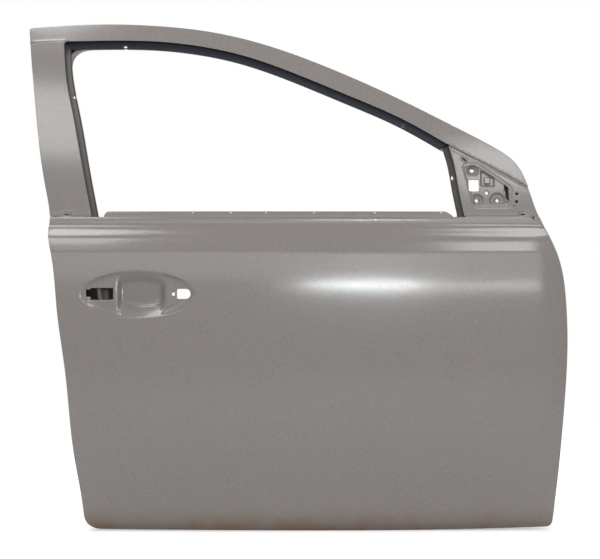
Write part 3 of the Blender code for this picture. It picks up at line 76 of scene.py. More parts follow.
# Driving sizes of the door, the same as the frame's, in metres
DOOR_LENGTH = 1.168
BELT_HEIGHT = 0.667
FRAME_HEIGHT = 0.433
BELT_SETBACK = 0.048
FRAME_SETBACK = 0.172
PLAN_CROWN = 0.024
FRONT_ROLL = 0.010
BODY_DEPTH = 0.135
SHELF_DEPTH = 0.095
FRAME_DEPTH = 0.036
FRAME_SHELF = 0.019
SKIN_SHEET = 0.0008
PANEL_SHEET = 0.0009
STIFFENER_SHEET = 0.0012
HINGE_SHEET = 0.002
SHEET_GAP = 0.0004
HEM_WIDTH = 0.009
HEM_BEND = 0.001
HEM_DEPTH = 2 * SKIN_SHEET + PANEL_SHEET + 2 * SHEET_GAP
FLANGE_DEPTH = SKIN_SHEET + SHEET_GAP
FLANGE_EDGE = 0.0014
FLANGE_WIDTH = 0.0115
EDGE_BAND = 0.0125
FACE_BAND = 0.003
REAR_CORNER = 0.036
FRONT_CORNER = 0.0135
TOP_CORNER = 0.006
WINDOW_CORNER = 0.050
SMALL_CORNER = 0.014
WALL_DRAFT = 0.001
SHELF_WIDTH = 0.018
FRAME_SHELF_WIDTH = 0.0075
HINGE_WALL_SHARE = 0.9735
HINGE_LINE_DEPTH = 0.066
UPPER_HINGE_SHARE = 0.675
STEP_LOW_SHARE = 0.90
STEP_HIGH_SHARE = 0.963
SASH_RETURN = 0.0028
CHANNEL_FRONT = 0.0035
CHANNEL_BACK = 0.020
CHANNEL_BASE = 0.011
CHANNEL_LIP = 0.001
CHANNEL_REACH = 0.013
HEADER_REACH = 0.018
WINDOW_FLANGE_DEPTH = CHANNEL_BACK + PANEL_SHEET + SHEET_GAP
WINDOW_SIDE_REACH = 0.0112
WINDOW_HEAD_REACH = 0.0164
WALL_BEND_DEPTH = 0.009
WALL_BEND_REACH = 0.004
SHIFT = (-(DOOR_LENGTH * HINGE_WALL_SHARE + PANEL_SHEET), -HINGE_LINE_DEPTH,
         -BELT_HEIGHT * UPPER_HINGE_SHARE)

# Surface of the skin: heights as shares of the belt height, depths as shares of the belt setback
TUCK_SHARES = ((0.0, 0.93), (0.036, 0.50), (0.059, 0.345))
BODY_SHARES = ((0.059, 0.345), (0.18, 0.20), (0.30, 0.095), (0.435, 0.02), (0.555, 0.0), (0.66, 0.03),
               (0.78, 0.12), (0.886, 0.29))
SHOULDER_SHARES = ((0.886, 0.29), (0.932, 0.56), (0.974, 0.96), (1.0, 1.0))
CROWN_CENTRE_SHARE = 0.463
CROWN_SPAN_SHARE = 0.535
ROLL_START_SHARE = 0.917
ROLL_SPAN_SHARE = 0.0813
FRAME_LEAN_SHARE = 0.605

# Outline of the door: x as shares of the door length, z as shares of the belt height or of the frame above it
PILLAR_SHARES = ((0.0, 0.9804), (0.0060, 0.850), (0.0171, 0.6467), (0.0342, 0.3349), (0.0488, 0.1328),
                 (0.0565, 0.030))
REAR_SHARES = ((0.0573, 0.985), (0.0559, 0.963), (0.0569, 0.9335), (0.0629, 0.8846), (0.0758, 0.6957),
               (0.0908, 0.5067), (0.1066, 0.2399), (0.1190, 0.1124), (0.1259, 0.0045))
BOTTOM_SHARES = ((0.1259, 0.0045), (0.334, 0.0018), (0.548, 0.0), (0.771, 0.0018), (0.9735, 0.0097))
FRONT_SHARES = ((0.9735, 0.0097), (0.9760, 0.066), (0.9820, 0.1604), (0.9902, 0.3148), (0.9969, 0.4678),
                (1.0, 0.5997), (0.9974, 0.7346), (0.9880, 0.8486), (0.9729, 0.9220), (0.9589, 0.9760))
NOSE_SHARES = ((0.9478, 0.0323), (0.9392, 0.1039), (0.9289, 0.1836), (0.9204, 0.2333), (0.9062, 0.2841),
               (0.8810, 0.3349), (0.8134, 0.4365), (0.7034, 0.5912), (0.5792, 0.7483), (0.4458, 0.8868),
               (0.3491, 0.9529), (0.2301, 0.9908), (0.1387, 0.9993), (0.0582, 0.9908), (0.0, 0.9804))
WINDOW_PILLAR_SHARES = ((0.0680, 0.9053), (0.0762, 0.7145), (0.0942, 0.5046), (0.1160, 0.2296),
                        (0.1322, 0.0277), (0.1379, -0.0439))
WINDOW_BAR_SHARES = ((0.8181, -0.0439), (0.8038, 0.1547), (0.7968, 0.2702), (0.7871, 0.3626))
WINDOW_HEADER_SHARES = ((0.7871, 0.3626), (0.6999, 0.4979), (0.6045, 0.6143), (0.4996, 0.7358),
                        (0.3943, 0.8360), (0.3262, 0.8762), (0.2641, 0.8984), (0.1712, 0.9088),
                        (0.0680, 0.9053))
SAIL_TOP_SHARES = ((0.9348, 0.1485), (0.8822, 0.2256), (0.8277, 0.3037), (0.7871, 0.3626))
RUN_REAR_SHARES = ((0.150, -0.25), (0.168, -0.6166))
RUN_BAR_SHARES = ((0.858, -0.6166), (0.833, -0.25))

# Handle recess: centre and half sizes, depths, rims and holes as shares of the half sizes
HANDLE_CENTRE_SHARE = (0.2215, 0.7525)
HANDLE_HALF_LENGTH = 0.1235
HANDLE_HALF_HEIGHT = 0.051
HANDLE_SEAT_DEPTH = 0.009
HANDLE_SEAT_RISE = 0.14
HANDLE_SEAT_POWER = 1.6
HANDLE_BOWL_DEPTH = 0.025
HANDLE_BOWL_SHARES = (-0.36, -0.28, 0.37, 0.50)
HANDLE_LIP = 0.055
HANDLE_BOWL_RISE = 0.50
HANDLE_BOWL_SOFT = 0.22
REAR_HOLE_SHARES = ((-0.81, -0.235), (-0.42, -0.235), (-0.42, 0.26), (-0.81, 0.26), (-0.81, 0.20),
                    (-0.885, 0.20), (-0.885, -0.11), (-0.81, -0.11))
FRONT_HOLE_SHARES = ((0.674, -0.19), (0.850, -0.19), (0.903, -0.09), (0.903, 0.12), (0.850, 0.22),
                     (0.674, 0.22))
CATCH_HOLE_SHARES = (0.589, 0.635, -0.06, 0.07)

# Seams of the window frame, as shares of the belt height, of the frame above it or of the sail's top line
SKIN_TOP_SHARE = 0.9985
TUCK_SHARES_OF_BELT = (1.0, 1.010)
HEADER_END_SHARE = 0.9054
PILLAR_START_SHARE = 0.9040
PILLAR_END_SHARE = 0.006
SEAM_SHARES = ((0.0058, 0.9045), (0.0740, 0.9106))
SEAM_RISE = 0.0007
SEAM_SPREAD = 0.0024
SEAM_FADE = 0.012
WINDOW_ROUND = 0.0085
SAIL_START_SHARE = 0.006
SAIL_END_SHARE = 0.146
HEADER_START_SHARE = 0.1515
SAIL_LAP_SHARES = tuple(np.linspace(0.975, 0.035, 42))
FRAME_GAP = 0.0006
PILLAR_TONGUE_SHARES = ((0.0690, 0.001), (0.0690, -0.005), (0.0702, -0.038), (0.1290, -0.038),
                        (0.1345, -0.005), (0.1345, 0.001))
PILLAR_DIMPLE_SHARES = ((0.0840, 0.0126), (0.0935, 0.0126))
PILLAR_SLOT_SHARES = ((0.0862, 0.0092), (0.0906, 0.0092))
SAIL_TONGUE_SHARES = ((0.8165, 0.001), (0.8170, -0.005), (0.8220, -0.038), (0.9330, -0.038), (0.9395, -0.005),
                      (0.9400, 0.001))

# Mirror sail: pressed fields, pockets and pads as shares, and its round holes with their radii
SAIL_FIELD_SHARES = ((0.8300, 0.043), (0.9020, 0.043), (0.9055, 0.1500), (0.8395, 0.2745), (0.8180, 0.2745),
                     (0.8110, 0.2540))
SAIL_FLOOR_SHARES = ((0.8325, 0.052), (0.8985, 0.052), (0.8985, 0.1460), (0.8405, 0.2560), (0.8200, 0.2560),
                     (0.8145, 0.2400))
SAIL_JOGGLE = 0.0014
SAIL_JOGGLE_START = 0.002
SAIL_JOGGLE_WIDTH = 0.0066
SAIL_PAD_SHARES = ((0.8085, 0.2860), (0.8190, 0.2680), (0.8260, 0.2830), (0.8160, 0.3020))
SAIL_SLOT_SHARES = ((0.8142, 0.2920), (0.8192, 0.2790))
SAIL_POCKET_SHARE = (0.8321, 0.2274)
SAIL_POCKET_RADIUS = 0.0145
SAIL_POCKET_FLOOR = 0.0105
SAIL_SQUARE_SHARES = ((0.8450, 0.1460), (0.8728, 0.1460), (0.8728, 0.1960), (0.8520, 0.2330),
                      (0.8450, 0.2330))
SAIL_BUTTON_SHARES = ((0.8520, 0.1620), (0.8648, 0.1620), (0.8648, 0.1990), (0.8520, 0.1990))
SAIL_WINDOW_SHARES = ((0.8238, 0.1264), (0.8427, 0.1264), (0.8427, 0.1845), (0.8238, 0.1845))
SAIL_WEDGE_SHARES = ((0.8895, 0.1620), (0.8965, 0.1440), (0.8973, 0.0760), (0.8925, 0.0900), (0.8885, 0.1250))
SAIL_CRESCENT_SHARES = ((0.8383, 0.0794, 0.0162), (0.8761, 0.0801, 0.0185))
SAIL_BUTTON_RADIUS = 0.0078
SAIL_DIMPLE_SHARES = ((0.9175, 0.0160), (0.9300, 0.0160))
SAIL_DIMPLE_RADIUS = 0.0062
SAIL_DIMPLE_SLOT_SHARES = ((0.9196, 0.0110), (0.9246, 0.0110))
SAIL_HOLE_SHARES = ((0.8308, 0.2306, 0.0044), (0.8383, 0.0794, 0.0046), (0.8761, 0.0801, 0.0047),
                    (0.8570, 0.1186, 0.0043), (0.9121, 0.1150, 0.0031), (0.9112, 0.0751, 0.0031),
                    (0.8929, 0.0718, 0.0016), (0.9060, 0.0544, 0.0014))

# Mirror plate behind the sail, nuts and the other hard parts
MIRROR_PLATE_SHARES = ((0.8350, 0.058), (0.8925, 0.058), (0.8925, 0.140), (0.8475, 0.222), (0.8475, 0.112),
                       (0.8350, 0.112))
SAIL_PLATE_DEPTH = 0.0140
SAIL_PAD_DEPTH = 0.0084
NUT_RADIUS = 0.0075
NUT_HEIGHT = 0.006
NUT_BORE = 0.0034
EDGE_ROUND = 0.0004
BEAM_REAR_SHARE = (0.135, 0.375)
BEAM_FRONT_SHARE = (0.945, 0.53)
BEAM_DEPTHS = (0.044, 0.058)
BEAM_RADIUS = 0.015
BEAM_WALL = 0.002
BRACKET_CUTS = {"handle_bracket_rear": (-0.92, -0.79, -0.10, 0.28),
                "handle_bracket_front": (0.565, 0.93, -0.23, 0.26)}
HARD_NODES = ("upper_hinge_reinforcement", "upper_hinge_nut_plate", "lower_hinge_reinforcement",
              "lower_hinge_nut_plate", "check_link_reinforcement", "latch_reinforcement",
              "impact_beam_bracket_rear", "impact_beam_bracket_front", "rear_channel_bracket",
              "front_channel_bracket",
              "belt_reinforcement_inner", "handle_bracket_rear", "handle_bracket_front",
              "frame_corner_gusset",
              "anti_flutter_pad_1", "anti_flutter_pad_2", "anti_flutter_pad_3", "anti_flutter_pad_4",
              "trim_weld_nut_1", "trim_weld_nut_2", "trim_weld_nut_3", "trim_weld_nut_4")

# Inner panel walls, beads and openings
HINGE_SHARES = (UPPER_HINGE_SHARE, 0.335)
HINGE_HOLE_RADIUS = 0.0065
HINGE_HOLE_OFFSET = 0.008
HINGE_HOLE_SPREAD = 0.025
CHECK_SHARE = 0.515
CHECK_HALF_WIDTH = 0.008
CHECK_HALF_HEIGHT = 0.020
CHECK_CORNER = 0.004
LOOM_SHARE = 0.775
LOOM_RADIUS = 0.016
LATCH_SHARE = 0.795
LATCH_HALF_HEIGHT = 0.030
LATCH_DEPTHS = (0.058, 0.086)
LATCH_CUT_SHARES = (0.060, 0.095)
LATCH_CORNER = 0.003
WALL_CUT = (-0.006, 0.004)
PANEL_FIELD_SHARES = ((0.28, 0.845), (0.28, 0.765), (0.70, 0.765), (0.70, 0.845))
PANEL_BEAD_SHARES = (((0.225, 0.28), (0.225, 0.66), 0.008), ((0.40, 0.165), (0.58, 0.165), 0.008),
                     ((0.93, 0.26), (0.93, 0.42), 0.007), ((0.76, 0.56), (0.86, 0.56), 0.008),
                     ((0.76, 0.615), (0.84, 0.615), 0.008))
ACCESS_SHARES = ((0.265, 0.30), (0.315, 0.235), (0.63, 0.235), (0.675, 0.30), (0.70, 0.62), (0.665, 0.70),
                 (0.48, 0.73), (0.345, 0.845), (0.26, 0.845), (0.225, 0.80), (0.225, 0.66))
ACCESS_CORNER = 0.03
SPEAKER_SHARE = (0.805, 0.30)
SPEAKER_RADIUS = 0.078
SPEAKER_RIM = 0.026
SPEAKER_SCREW_CIRCLE = 0.090
SPEAKER_SCREW_RADIUS = 0.0035
LATCH_ACCESS_SHARES = ((0.135, 0.787), (0.185, 0.787), (0.185, 0.858), (0.135, 0.858))
WIRING_SHARES = ((0.875, 0.68), (0.925, 0.68), (0.925, 0.765), (0.875, 0.765))
PULL_SHARES = (0.33, 0.155, 0.014)
TRIM_CLIP_RADIUS = 0.004
TRIM_CLIP_SHARES = ((0.165, 0.20), (0.165, 0.52), (0.36, 0.14), (0.62, 0.14), (0.925, 0.17), (0.925, 0.50),
                    (0.925, 0.82), (0.56, 0.85), (0.75, 0.85))
SAIL_OPENING_SHARES = ((0.824, 0.052), (0.886, 0.052), (0.886, 0.125), (0.847, 0.235), (0.823, 0.245))

# Belt strip: shares of the lengths, and its section as pairs of height share and depth
BELT_OUTER_SHARES = (0.1575, 0.7935)
BELT_OUTER_PROFILE = ((0.900, 0.0014), (0.918, 0.0014), (0.930, 0.0085), (0.962, 0.0085), (0.976, 0.0014),
                      (0.984, 0.0014))
BELT_TOP_SHARE = 1.0165
BELT_TOP_GAP = 0.0014
BELT_TOP_CORNERS = (0.008, 0.0155)
BELT_HOLE_SHARES = (0.3197, 0.3889, 0.4527, 0.5400, 0.6512, 0.7717)
BELT_HOLE_RADIUS = 0.0013

# Glass channels: ends, bends and holes as distances from the window's edge
CHANNEL_BEND = 0.0022
CHANNEL_FLARE = 0.0016
RUN_FOOT_SHARE = -0.60
MITRE_GAP = 0.0008
REAR_MITRE = 0.90
FRONT_MITRE = 0.42
HEADER_OVAL_SHARES = (0.1837, 0.8781)
HEADER_OVAL = (0.0038, 0.0027)
PILLAR_OVAL_SHARES = (0.0924, 0.6110)
BAR_OVAL_SHARES = (0.7946, 0.1941)
HEADER_FRONT_HOLE_SHARES = (0.7050, 0.4563)
SIGHT_CUTS = ((PILLAR_OVAL_SHARES, 0.0056), (BAR_OVAL_SHARES, 0.0060), (HEADER_OVAL_SHARES, 0.0056))
SIGHT_CUT_DEPTHS = (0.03, 0.32)

# Picture's centre in the door's plane, tint of the long lamp over the skin, white and the floor's fade
PICTURE_CENTRE = (0.601, 0.533)
DAYLIGHT = (0.90, 0.96, 1.0)
WHITE = (1.0, 1.0, 1.0, 1.0)
WORLD_LEVEL = 0.32
FLOOR_FADE = (1.6, 3.2)

# Fineness of the made sheets
ALONG = 0.006
CORNER_REACH = 0.060
LEAST_CORNER = 0.001
LEAST_CORNER_SHARE = 0.11
WALL_FACING = -0.35
SMOOTH_ANGLE = math.radians(32)
LOOP_STEP = 0.003
MERGE_DISTANCE = 2e-5
PRESS_LINE_SHARES = (0.0, 0.25, 0.5, 0.75, 1.0)


# Places and surfaces


def body_point(share):
    """Plane point below the belt from its shares."""
    return (DOOR_LENGTH * share[0], BELT_HEIGHT * share[1])


def frame_point(share):
    """Plane point of the window frame from its shares."""
    return (DOOR_LENGTH * share[0], BELT_HEIGHT + FRAME_HEIGHT * share[1])


def body_points(shares):
    """Plane points below the belt from their shares."""
    return [body_point(share) for share in shares]


def frame_points(shares):
    """Plane points of the window frame from their shares."""
    return [frame_point(share) for share in shares]


def arc(start, control, end, t):
    """Bend that leaves the start towards a control point and reaches the end from it."""
    return (1 - t) ** 2 * start + 2 * t * (1 - t) * control + t * t * end


def ramp(value, low, high):
    """Smooth step from 0 at low to 1 at high."""
    t = np.clip((value - low) / (high - low), 0.0, 1.0)
    return t * t * (3 - 2 * t)


def eased(table, at):
    """Smooth curve through a table of pairs, read at many places."""
    xs, ys = np.array(table).T
    slopes = np.gradient(ys, xs)
    at = np.clip(at, xs[0], xs[-1])
    i = np.clip(np.searchsorted(xs, at, side="right") - 1, 0, len(xs) - 2)
    span = xs[i + 1] - xs[i]
    t = (at - xs[i]) / span
    return ((2 * t**3 - 3 * t**2 + 1) * ys[i] + (t**3 - 2 * t**2 + t) * span * slopes[i]
            + (3 * t**2 - 2 * t**3) * ys[i + 1] + (t**3 - t**2) * span * slopes[i + 1])


def crown(x, z):
    """How far the skin falls back towards both ends of the door."""
    share = x / DOOR_LENGTH
    fall = PLAN_CROWN * ((share - CROWN_CENTRE_SHARE) / CROWN_SPAN_SHARE) ** 2
    roll = FRONT_ROLL * np.maximum(0.0, (share - ROLL_START_SHARE) / ROLL_SPAN_SHARE) ** 3
    return fall + roll * (1 - ramp(z, BELT_HEIGHT * STEP_LOW_SHARE, BELT_HEIGHT))


def glass_plane(x, z):
    """Curved plane of the window frame, carried on below the belt."""
    rise = (z - BELT_HEIGHT) / FRAME_HEIGHT
    lean = FRAME_LEAN_SHARE * rise + (1 - FRAME_LEAN_SHARE) * rise**2
    return crown(x, z) + BELT_SETBACK + FRAME_SETBACK * lean


def skin(x, z):
    """Outer surface of the whole door."""
    x, z = np.asarray(x, float), np.asarray(z, float)
    share = z / BELT_HEIGHT
    fall = np.where(share < TUCK_SHARES[-1][0], eased(TUCK_SHARES, share), eased(BODY_SHARES, share))
    fall = np.where(share > SHOULDER_SHARES[0][0], eased(SHOULDER_SHARES, share), fall)
    return np.where(z >= BELT_HEIGHT, glass_plane(x, z), crown(x, z) + BELT_SETBACK * fall)


def stretch(surface, x, z):
    """How much longer a sheet's thickness reads along y where its surface slopes."""
    step = SHEET_GAP
    slope_x = (surface(x + step, z) - surface(x - step, z)) / (2 * step)
    slope_z = (surface(x, z + step) - surface(x, z - step)) / (2 * step)
    return np.sqrt(1 + slope_x**2 + slope_z**2)


def lifted(points, depth, surface=skin):
    """Plane points lifted to a depth behind a surface."""
    x, z = np.array(points, float).T
    return np.column_stack([x, surface(x, z) + depth * stretch(surface, x, z), z])


def onto(points, surface):
    """Plane points lifted onto a surface."""
    x, z = np.array(points, float).T
    return np.column_stack([x, surface(x, z), z])


def recess(x, z):
    """How far the handle recess lies behind the skin."""
    u = (x - DOOR_LENGTH * HANDLE_CENTRE_SHARE[0]) / HANDLE_HALF_LENGTH
    v = (z - BELT_HEIGHT * HANDLE_CENTRE_SHARE[1]) / HANDLE_HALF_HEIGHT
    out = np.hypot(u, v)
    inside = np.clip(1 - out, 0.0, 1.0)
    inside = np.where(inside < HANDLE_LIP, inside ** 2 / (2 * HANDLE_LIP), inside - HANDLE_LIP / 2)
    seat = HANDLE_SEAT_DEPTH * (1 - (1 - np.minimum(1.0, inside / HANDLE_SEAT_RISE)) ** HANDLE_SEAT_POWER)
    a, b, c, d = HANDLE_BOWL_SHARES
    middle = ramp(u, a, b) * (1 - ramp(u, c, d))
    rise, soft = inside / HANDLE_BOWL_RISE, HANDLE_BOWL_SOFT
    bent = rise - np.clip(rise - 1 + soft, 0.0, None) ** 2 / (4 * soft)
    bowl = HANDLE_BOWL_DEPTH * np.where(rise < 1 + soft, bent, 1.0)
    return seat * (1 - middle) + bowl * middle


def dished(x, z):
    """Skin with its handle recess."""
    return skin(x, z) + recess(x, z)


def stepped(x, z, body_depth, frame_depth):
    """Surface that is flat below the belt and follows the frame above it."""
    low, high = BELT_HEIGHT * STEP_LOW_SHARE, BELT_HEIGHT * STEP_HIGH_SHARE
    above = np.maximum(z, high)
    near = skin(x, above) + frame_depth * stretch(glass_plane, x, above)
    return body_depth + (near - body_depth) * ramp(z, low, high)


def inner_face(x, z):
    """Cabin side of the inner panel."""
    return stepped(x, z, BODY_DEPTH, FRAME_DEPTH)


def shelf(x, z):
    """Weatherstrip shelf round the inner panel."""
    return stepped(x, z, SHELF_DEPTH, FRAME_SHELF)


def tucked(x, z):
    """Frame surface that steps behind the skin below the belt."""
    low, high = (BELT_HEIGHT * s for s in TUCK_SHARES_OF_BELT)
    behind = (SKIN_SHEET + 2 * SHEET_GAP) * (1 - ramp(z, low, high))
    return skin(x, z) + behind * np.where(z < high, stretch(skin, x, z), 1.0)


# Curves and rings


def natural(xs, ys, at):
    """Natural cubic spline through the pairs, read at the places given."""
    count = len(xs)
    gaps = np.diff(xs)
    matrix = np.eye(count)
    right = np.zeros(count)
    for i in range(1, count - 1):
        matrix[i, i - 1:i + 2] = gaps[i - 1], 2 * (gaps[i - 1] + gaps[i]), gaps[i]
        right[i] = 6 * ((ys[i + 1] - ys[i]) / gaps[i] - (ys[i] - ys[i - 1]) / gaps[i - 1])
    bend = np.linalg.solve(matrix, right)
    i = np.clip(np.searchsorted(xs, at, side="right") - 1, 0, count - 2)
    left, rest, gap = at - xs[i], xs[i + 1] - at, gaps[i]
    return (bend[i] * rest**3 + bend[i + 1] * left**3) / (6 * gap) + (
        (ys[i] / gap - bend[i] * gap / 6) * rest + (ys[i + 1] / gap - bend[i + 1] * gap / 6) * left)


class Curve:
    """Smooth plane curve through given points, read by the distance along it."""

    def __init__(self, knots, fine=900, spline=True):
        knots = np.array(knots, dtype=float)
        chord = np.concatenate([[0.0], np.cumsum(np.linalg.norm(np.diff(knots, axis=0), axis=1))])
        if spline:
            at = np.linspace(0.0, chord[-1], fine)
            knots = np.column_stack([natural(chord, knots[:, 0], at), natural(chord, knots[:, 1], at)])
            chord = np.concatenate([[0.0], np.cumsum(np.linalg.norm(np.diff(knots, axis=0), axis=1))])
        self.knots = knots
        self.along = chord
        self.length = chord[-1]
        tangents = np.gradient(knots, chord, axis=0)
        self.tangents = tangents / np.linalg.norm(tangents, axis=1)[:, None]

    def at(self, places):
        """Points and tangents at distances, carried on straight past both ends."""
        places = np.asarray(places, float)
        inside = np.clip(places, 0.0, self.length)
        points = np.column_stack([np.interp(inside, self.along, self.knots[:, k]) for k in (0, 1)])
        tangents = np.column_stack([np.interp(inside, self.along, self.tangents[:, k]) for k in (0, 1)])
        tangents /= np.linalg.norm(tangents, axis=1)[:, None]
        return points + tangents * (places - inside)[:, None], tangents

    def moved(self, places, inset):
        """Points at distances, moved to the left of the curve by the inset."""
        points, tangents = self.at(places)
        move = inset(points, tangents) if callable(inset) else inset
        return points + np.column_stack([-tangents[:, 1], tangents[:, 0]]) * np.reshape(move, (-1, 1))

    def crossing(self, axis, value):
        """Distance where the curve first crosses a value of x (0) or z (1)."""
        side = self.knots[:, axis] - value
        k = int(np.nonzero(side[:-1] * side[1:] <= 0)[0][0])
        return self.along[k] + side[k] / (side[k] - side[k + 1]) * (self.along[k + 1] - self.along[k])


def spread(length):
    """Evenly spread places along a length, without its ends."""
    return np.linspace(0.0, length, max(3, int(length / ALONG) + 1))[1:-1]


def path(curves, stations, inset, corners, turns):
    """Closed ring along joined curves, moved to the left by the inset, with rounded corners."""
    count = len(curves)
    spans = [[0.0, curve.length] for curve in curves]
    for j, radius in enumerate(corners):
        before, after = curves[j], curves[(j + 1) % count]
        point, leave = before.at([before.length])
        enter = after.at([0.0])[1]
        angle = math.acos(np.clip(float((leave * enter).sum()), -1.0, 1.0))
        depth = float(np.ravel(inset(point, leave))[0]) if callable(inset) else inset
        cut = (depth + max(radius - depth, LEAST_CORNER, depth * LEAST_CORNER_SHARE)) * math.tan(angle / 2)
        spans[j][1] -= cut
        spans[(j + 1) % count][0] += cut
    runs = []
    for curve, places, (low, high) in zip(curves, stations, spans):
        ends = (0.0, CORNER_REACH, curve.length - CORNER_REACH, curve.length)
        eased_places = np.interp(np.concatenate([[0.0], places, [curve.length]]), ends,
                                 (low, CORNER_REACH, curve.length - CORNER_REACH, high))
        runs.append((curve.moved(eased_places, inset), curve.at(eased_places)[1]))
    points = []
    for j, (run, tangents) in enumerate(runs):
        points.append(run)
        start, along = run[-1], tangents[-1]
        end, away = runs[(j + 1) % count][0][0], runs[(j + 1) % count][1][0]
        cross = along[0] * away[1] - along[1] * away[0]
        reach = ((end[0] - start[0]) * away[1] - (end[1] - start[1]) * away[0]) / cross
        control = start + along * reach
        t = (np.arange(1, turns[j] + 1) / (turns[j] + 1))[:, None]
        points.append(arc(start, control, end, t))
    return np.concatenate(points)


rear = Curve(frame_points(PILLAR_SHARES) + body_points(REAR_SHARES))
bottom = Curve(body_points(BOTTOM_SHARES))
front = Curve(body_points(FRONT_SHARES) + frame_points(NOSE_SHARES), fine=1500)
window_rear = Curve(frame_points(WINDOW_PILLAR_SHARES))
window_bar = Curve(frame_points(WINDOW_BAR_SHARES))
window_head = Curve(frame_points(WINDOW_HEADER_SHARES))
window_sill = Curve([window_rear.knots[-1], window_bar.knots[0]], spline=False)
sail_head = Curve(frame_points(SAIL_TOP_SHARES))
rear_run = Curve(frame_points(WINDOW_PILLAR_SHARES + RUN_REAR_SHARES))
front_run = Curve(frame_points(RUN_BAR_SHARES + WINDOW_BAR_SHARES))

# Points added in each rounded corner of the outline and of the window
OUTLINE_TURNS = (14, 8, 5)
WINDOW_TURNS = (6, 6, 6, 14)
WINDOW_CORNERS = (SMALL_CORNER, SMALL_CORNER, SMALL_CORNER, WINDOW_CORNER)


def parted(curve, marks):
    """Places along a curve, evenly spread between marks that are places too."""
    ends = [0.0] + list(marks) + [curve.length]
    places = []
    for low, high in zip(ends, ends[1:]):
        inner = list(low + spread(high - low)) if high - low > ALONG else []
        places += inner + ([high] if high < curve.length else [])
    return np.array(places)


def level(share, below=False):
    """Height of a share of the frame above the belt, or of the belt height."""
    return BELT_HEIGHT * share if below else BELT_HEIGHT + FRAME_HEIGHT * share


rear_marks = [rear.crossing(1, level(HEADER_END_SHARE)), rear.crossing(1, level(PILLAR_START_SHARE)),
              rear.crossing(1, level(PILLAR_END_SHARE)), rear.crossing(1, level(SKIN_TOP_SHARE, True))]
front_marks = [front.crossing(1, level(SKIN_TOP_SHARE, True)), front.crossing(1, level(SAIL_START_SHARE)),
               front.crossing(1, level(SAIL_END_SHARE)), front.crossing(1, level(HEADER_START_SHARE))]
rear_places, bottom_places = parted(rear, rear_marks), parted(bottom, [])
front_places = parted(front, front_marks)
REAR_START = 1
HEADER_END, PILLAR_FIRST, PILLAR_LAST, SKIN_FIRST = (
    REAR_START + int(np.argmin(abs(rear_places - m))) for m in rear_marks)
FRONT_START = len(rear_places) + 2 + OUTLINE_TURNS[0] + len(bottom_places) + 2 + OUTLINE_TURNS[1] + 1
SKIN_LAST, SAIL_FIRST, SAIL_LAST, HEADER_FIRST = (
    FRONT_START + int(np.argmin(abs(front_places - m))) for m in front_marks)


def outline(low, high=None, limit=None):
    """Closed ring inside the outline by low on the body and high on the frame, behind a limit in x."""
    high = low if high is None else high

    def inset(points, tangents):
        depth = low + (high - low) * ramp(points[:, 1], BELT_HEIGHT * STEP_LOW_SHARE, BELT_HEIGHT)
        if limit is not None:
            facing = -tangents[:, 1]
            past = (points[:, 0] - limit) / -np.minimum(facing, WALL_FACING)
            over = np.where(facing < WALL_FACING, past, 0.0)
            depth = np.maximum(depth, over)
        return depth

    return path((rear, bottom, front), (rear_places, bottom_places, front_places), inset,
                (REAR_CORNER, FRONT_CORNER, TOP_CORNER), OUTLINE_TURNS)


def window(side, head):
    """Closed ring round the window, moved into it by one inset at its sides and another along its header."""
    def inset(points, tangents):
        return side + (head - side) * ramp(-tangents[:, 0], 0.4, 0.8)

    curves = (window_rear, window_sill, window_bar, window_head)
    stations = [spread(curve.length) for curve in curves]
    return path(curves, stations, inset, [radius + side for radius in WINDOW_CORNERS], WINDOW_TURNS)


def rounded(rings, radii, steps=4):
    """Rings of a profile with its inner bends rounded: each bend's ring becomes an arc of rings."""
    out = [rings[0]]
    for before, ring, after, radius in zip(rings, rings[1:], rings[2:], radii):
        if radius == 0:
            out.append(ring)
            continue
        back, ahead = before - ring, after - ring
        back_length = np.linalg.norm(back, axis=1)[:, None]
        ahead_length = np.linalg.norm(ahead, axis=1)[:, None]
        start = ring + back / back_length * np.minimum(radius, back_length * 0.45)
        end = ring + ahead / ahead_length * np.minimum(radius, ahead_length * 0.45)
        out += [arc(start, ring, end, t) for t in np.linspace(0.0, 1.0, steps + 1)]
    return out + [rings[-1]]


def between(rings, count):
    """Rings with evenly spaced ones added between each neighbouring pair."""
    out = [rings[0]]
    for a, b in zip(rings, rings[1:]):
        out += [a + (b - a) * k / count for k in range(1, count + 1)]
    return out


# Pressed sheets


def within(points, loop):
    """Which plane points lie inside a closed loop."""
    x, z = points[:, 0], points[:, 1]
    odd = np.zeros(len(points), bool)
    for (ax, az), (bx, bz) in zip(loop, np.roll(loop, -1, axis=0)):
        if az != bz:
            odd ^= ((az > z) != (bz > z)) & (x < (bx - ax) * (z - az) / (bz - az) + ax)
    return odd


def evenly(loop):
    """Closed loop without doubled points and without long sides."""
    loop = np.array(loop, float)
    loop = loop[np.linalg.norm(np.roll(loop, -1, axis=0) - loop, axis=1) > LOOP_STEP / 50]
    out = []
    for a, b in zip(loop, np.roll(loop, -1, axis=0)):
        count = max(1, int(np.linalg.norm(b - a) / LOOP_STEP))
        out += [a + (b - a) * k / count for k in range(count)]
    return np.array(out)


def distance_to(points, starts, ends):
    """Distance of plane points from the nearest of some straight lines."""
    best = np.full(len(points), np.inf)
    for a, b in zip(starts, ends):
        edge = b - a
        t = np.clip(((points - a) @ edge) / (edge @ edge), 0.0, 1.0)
        best = np.minimum(best, np.linalg.norm(points - a - t[:, None] * edge, axis=1))
    return best


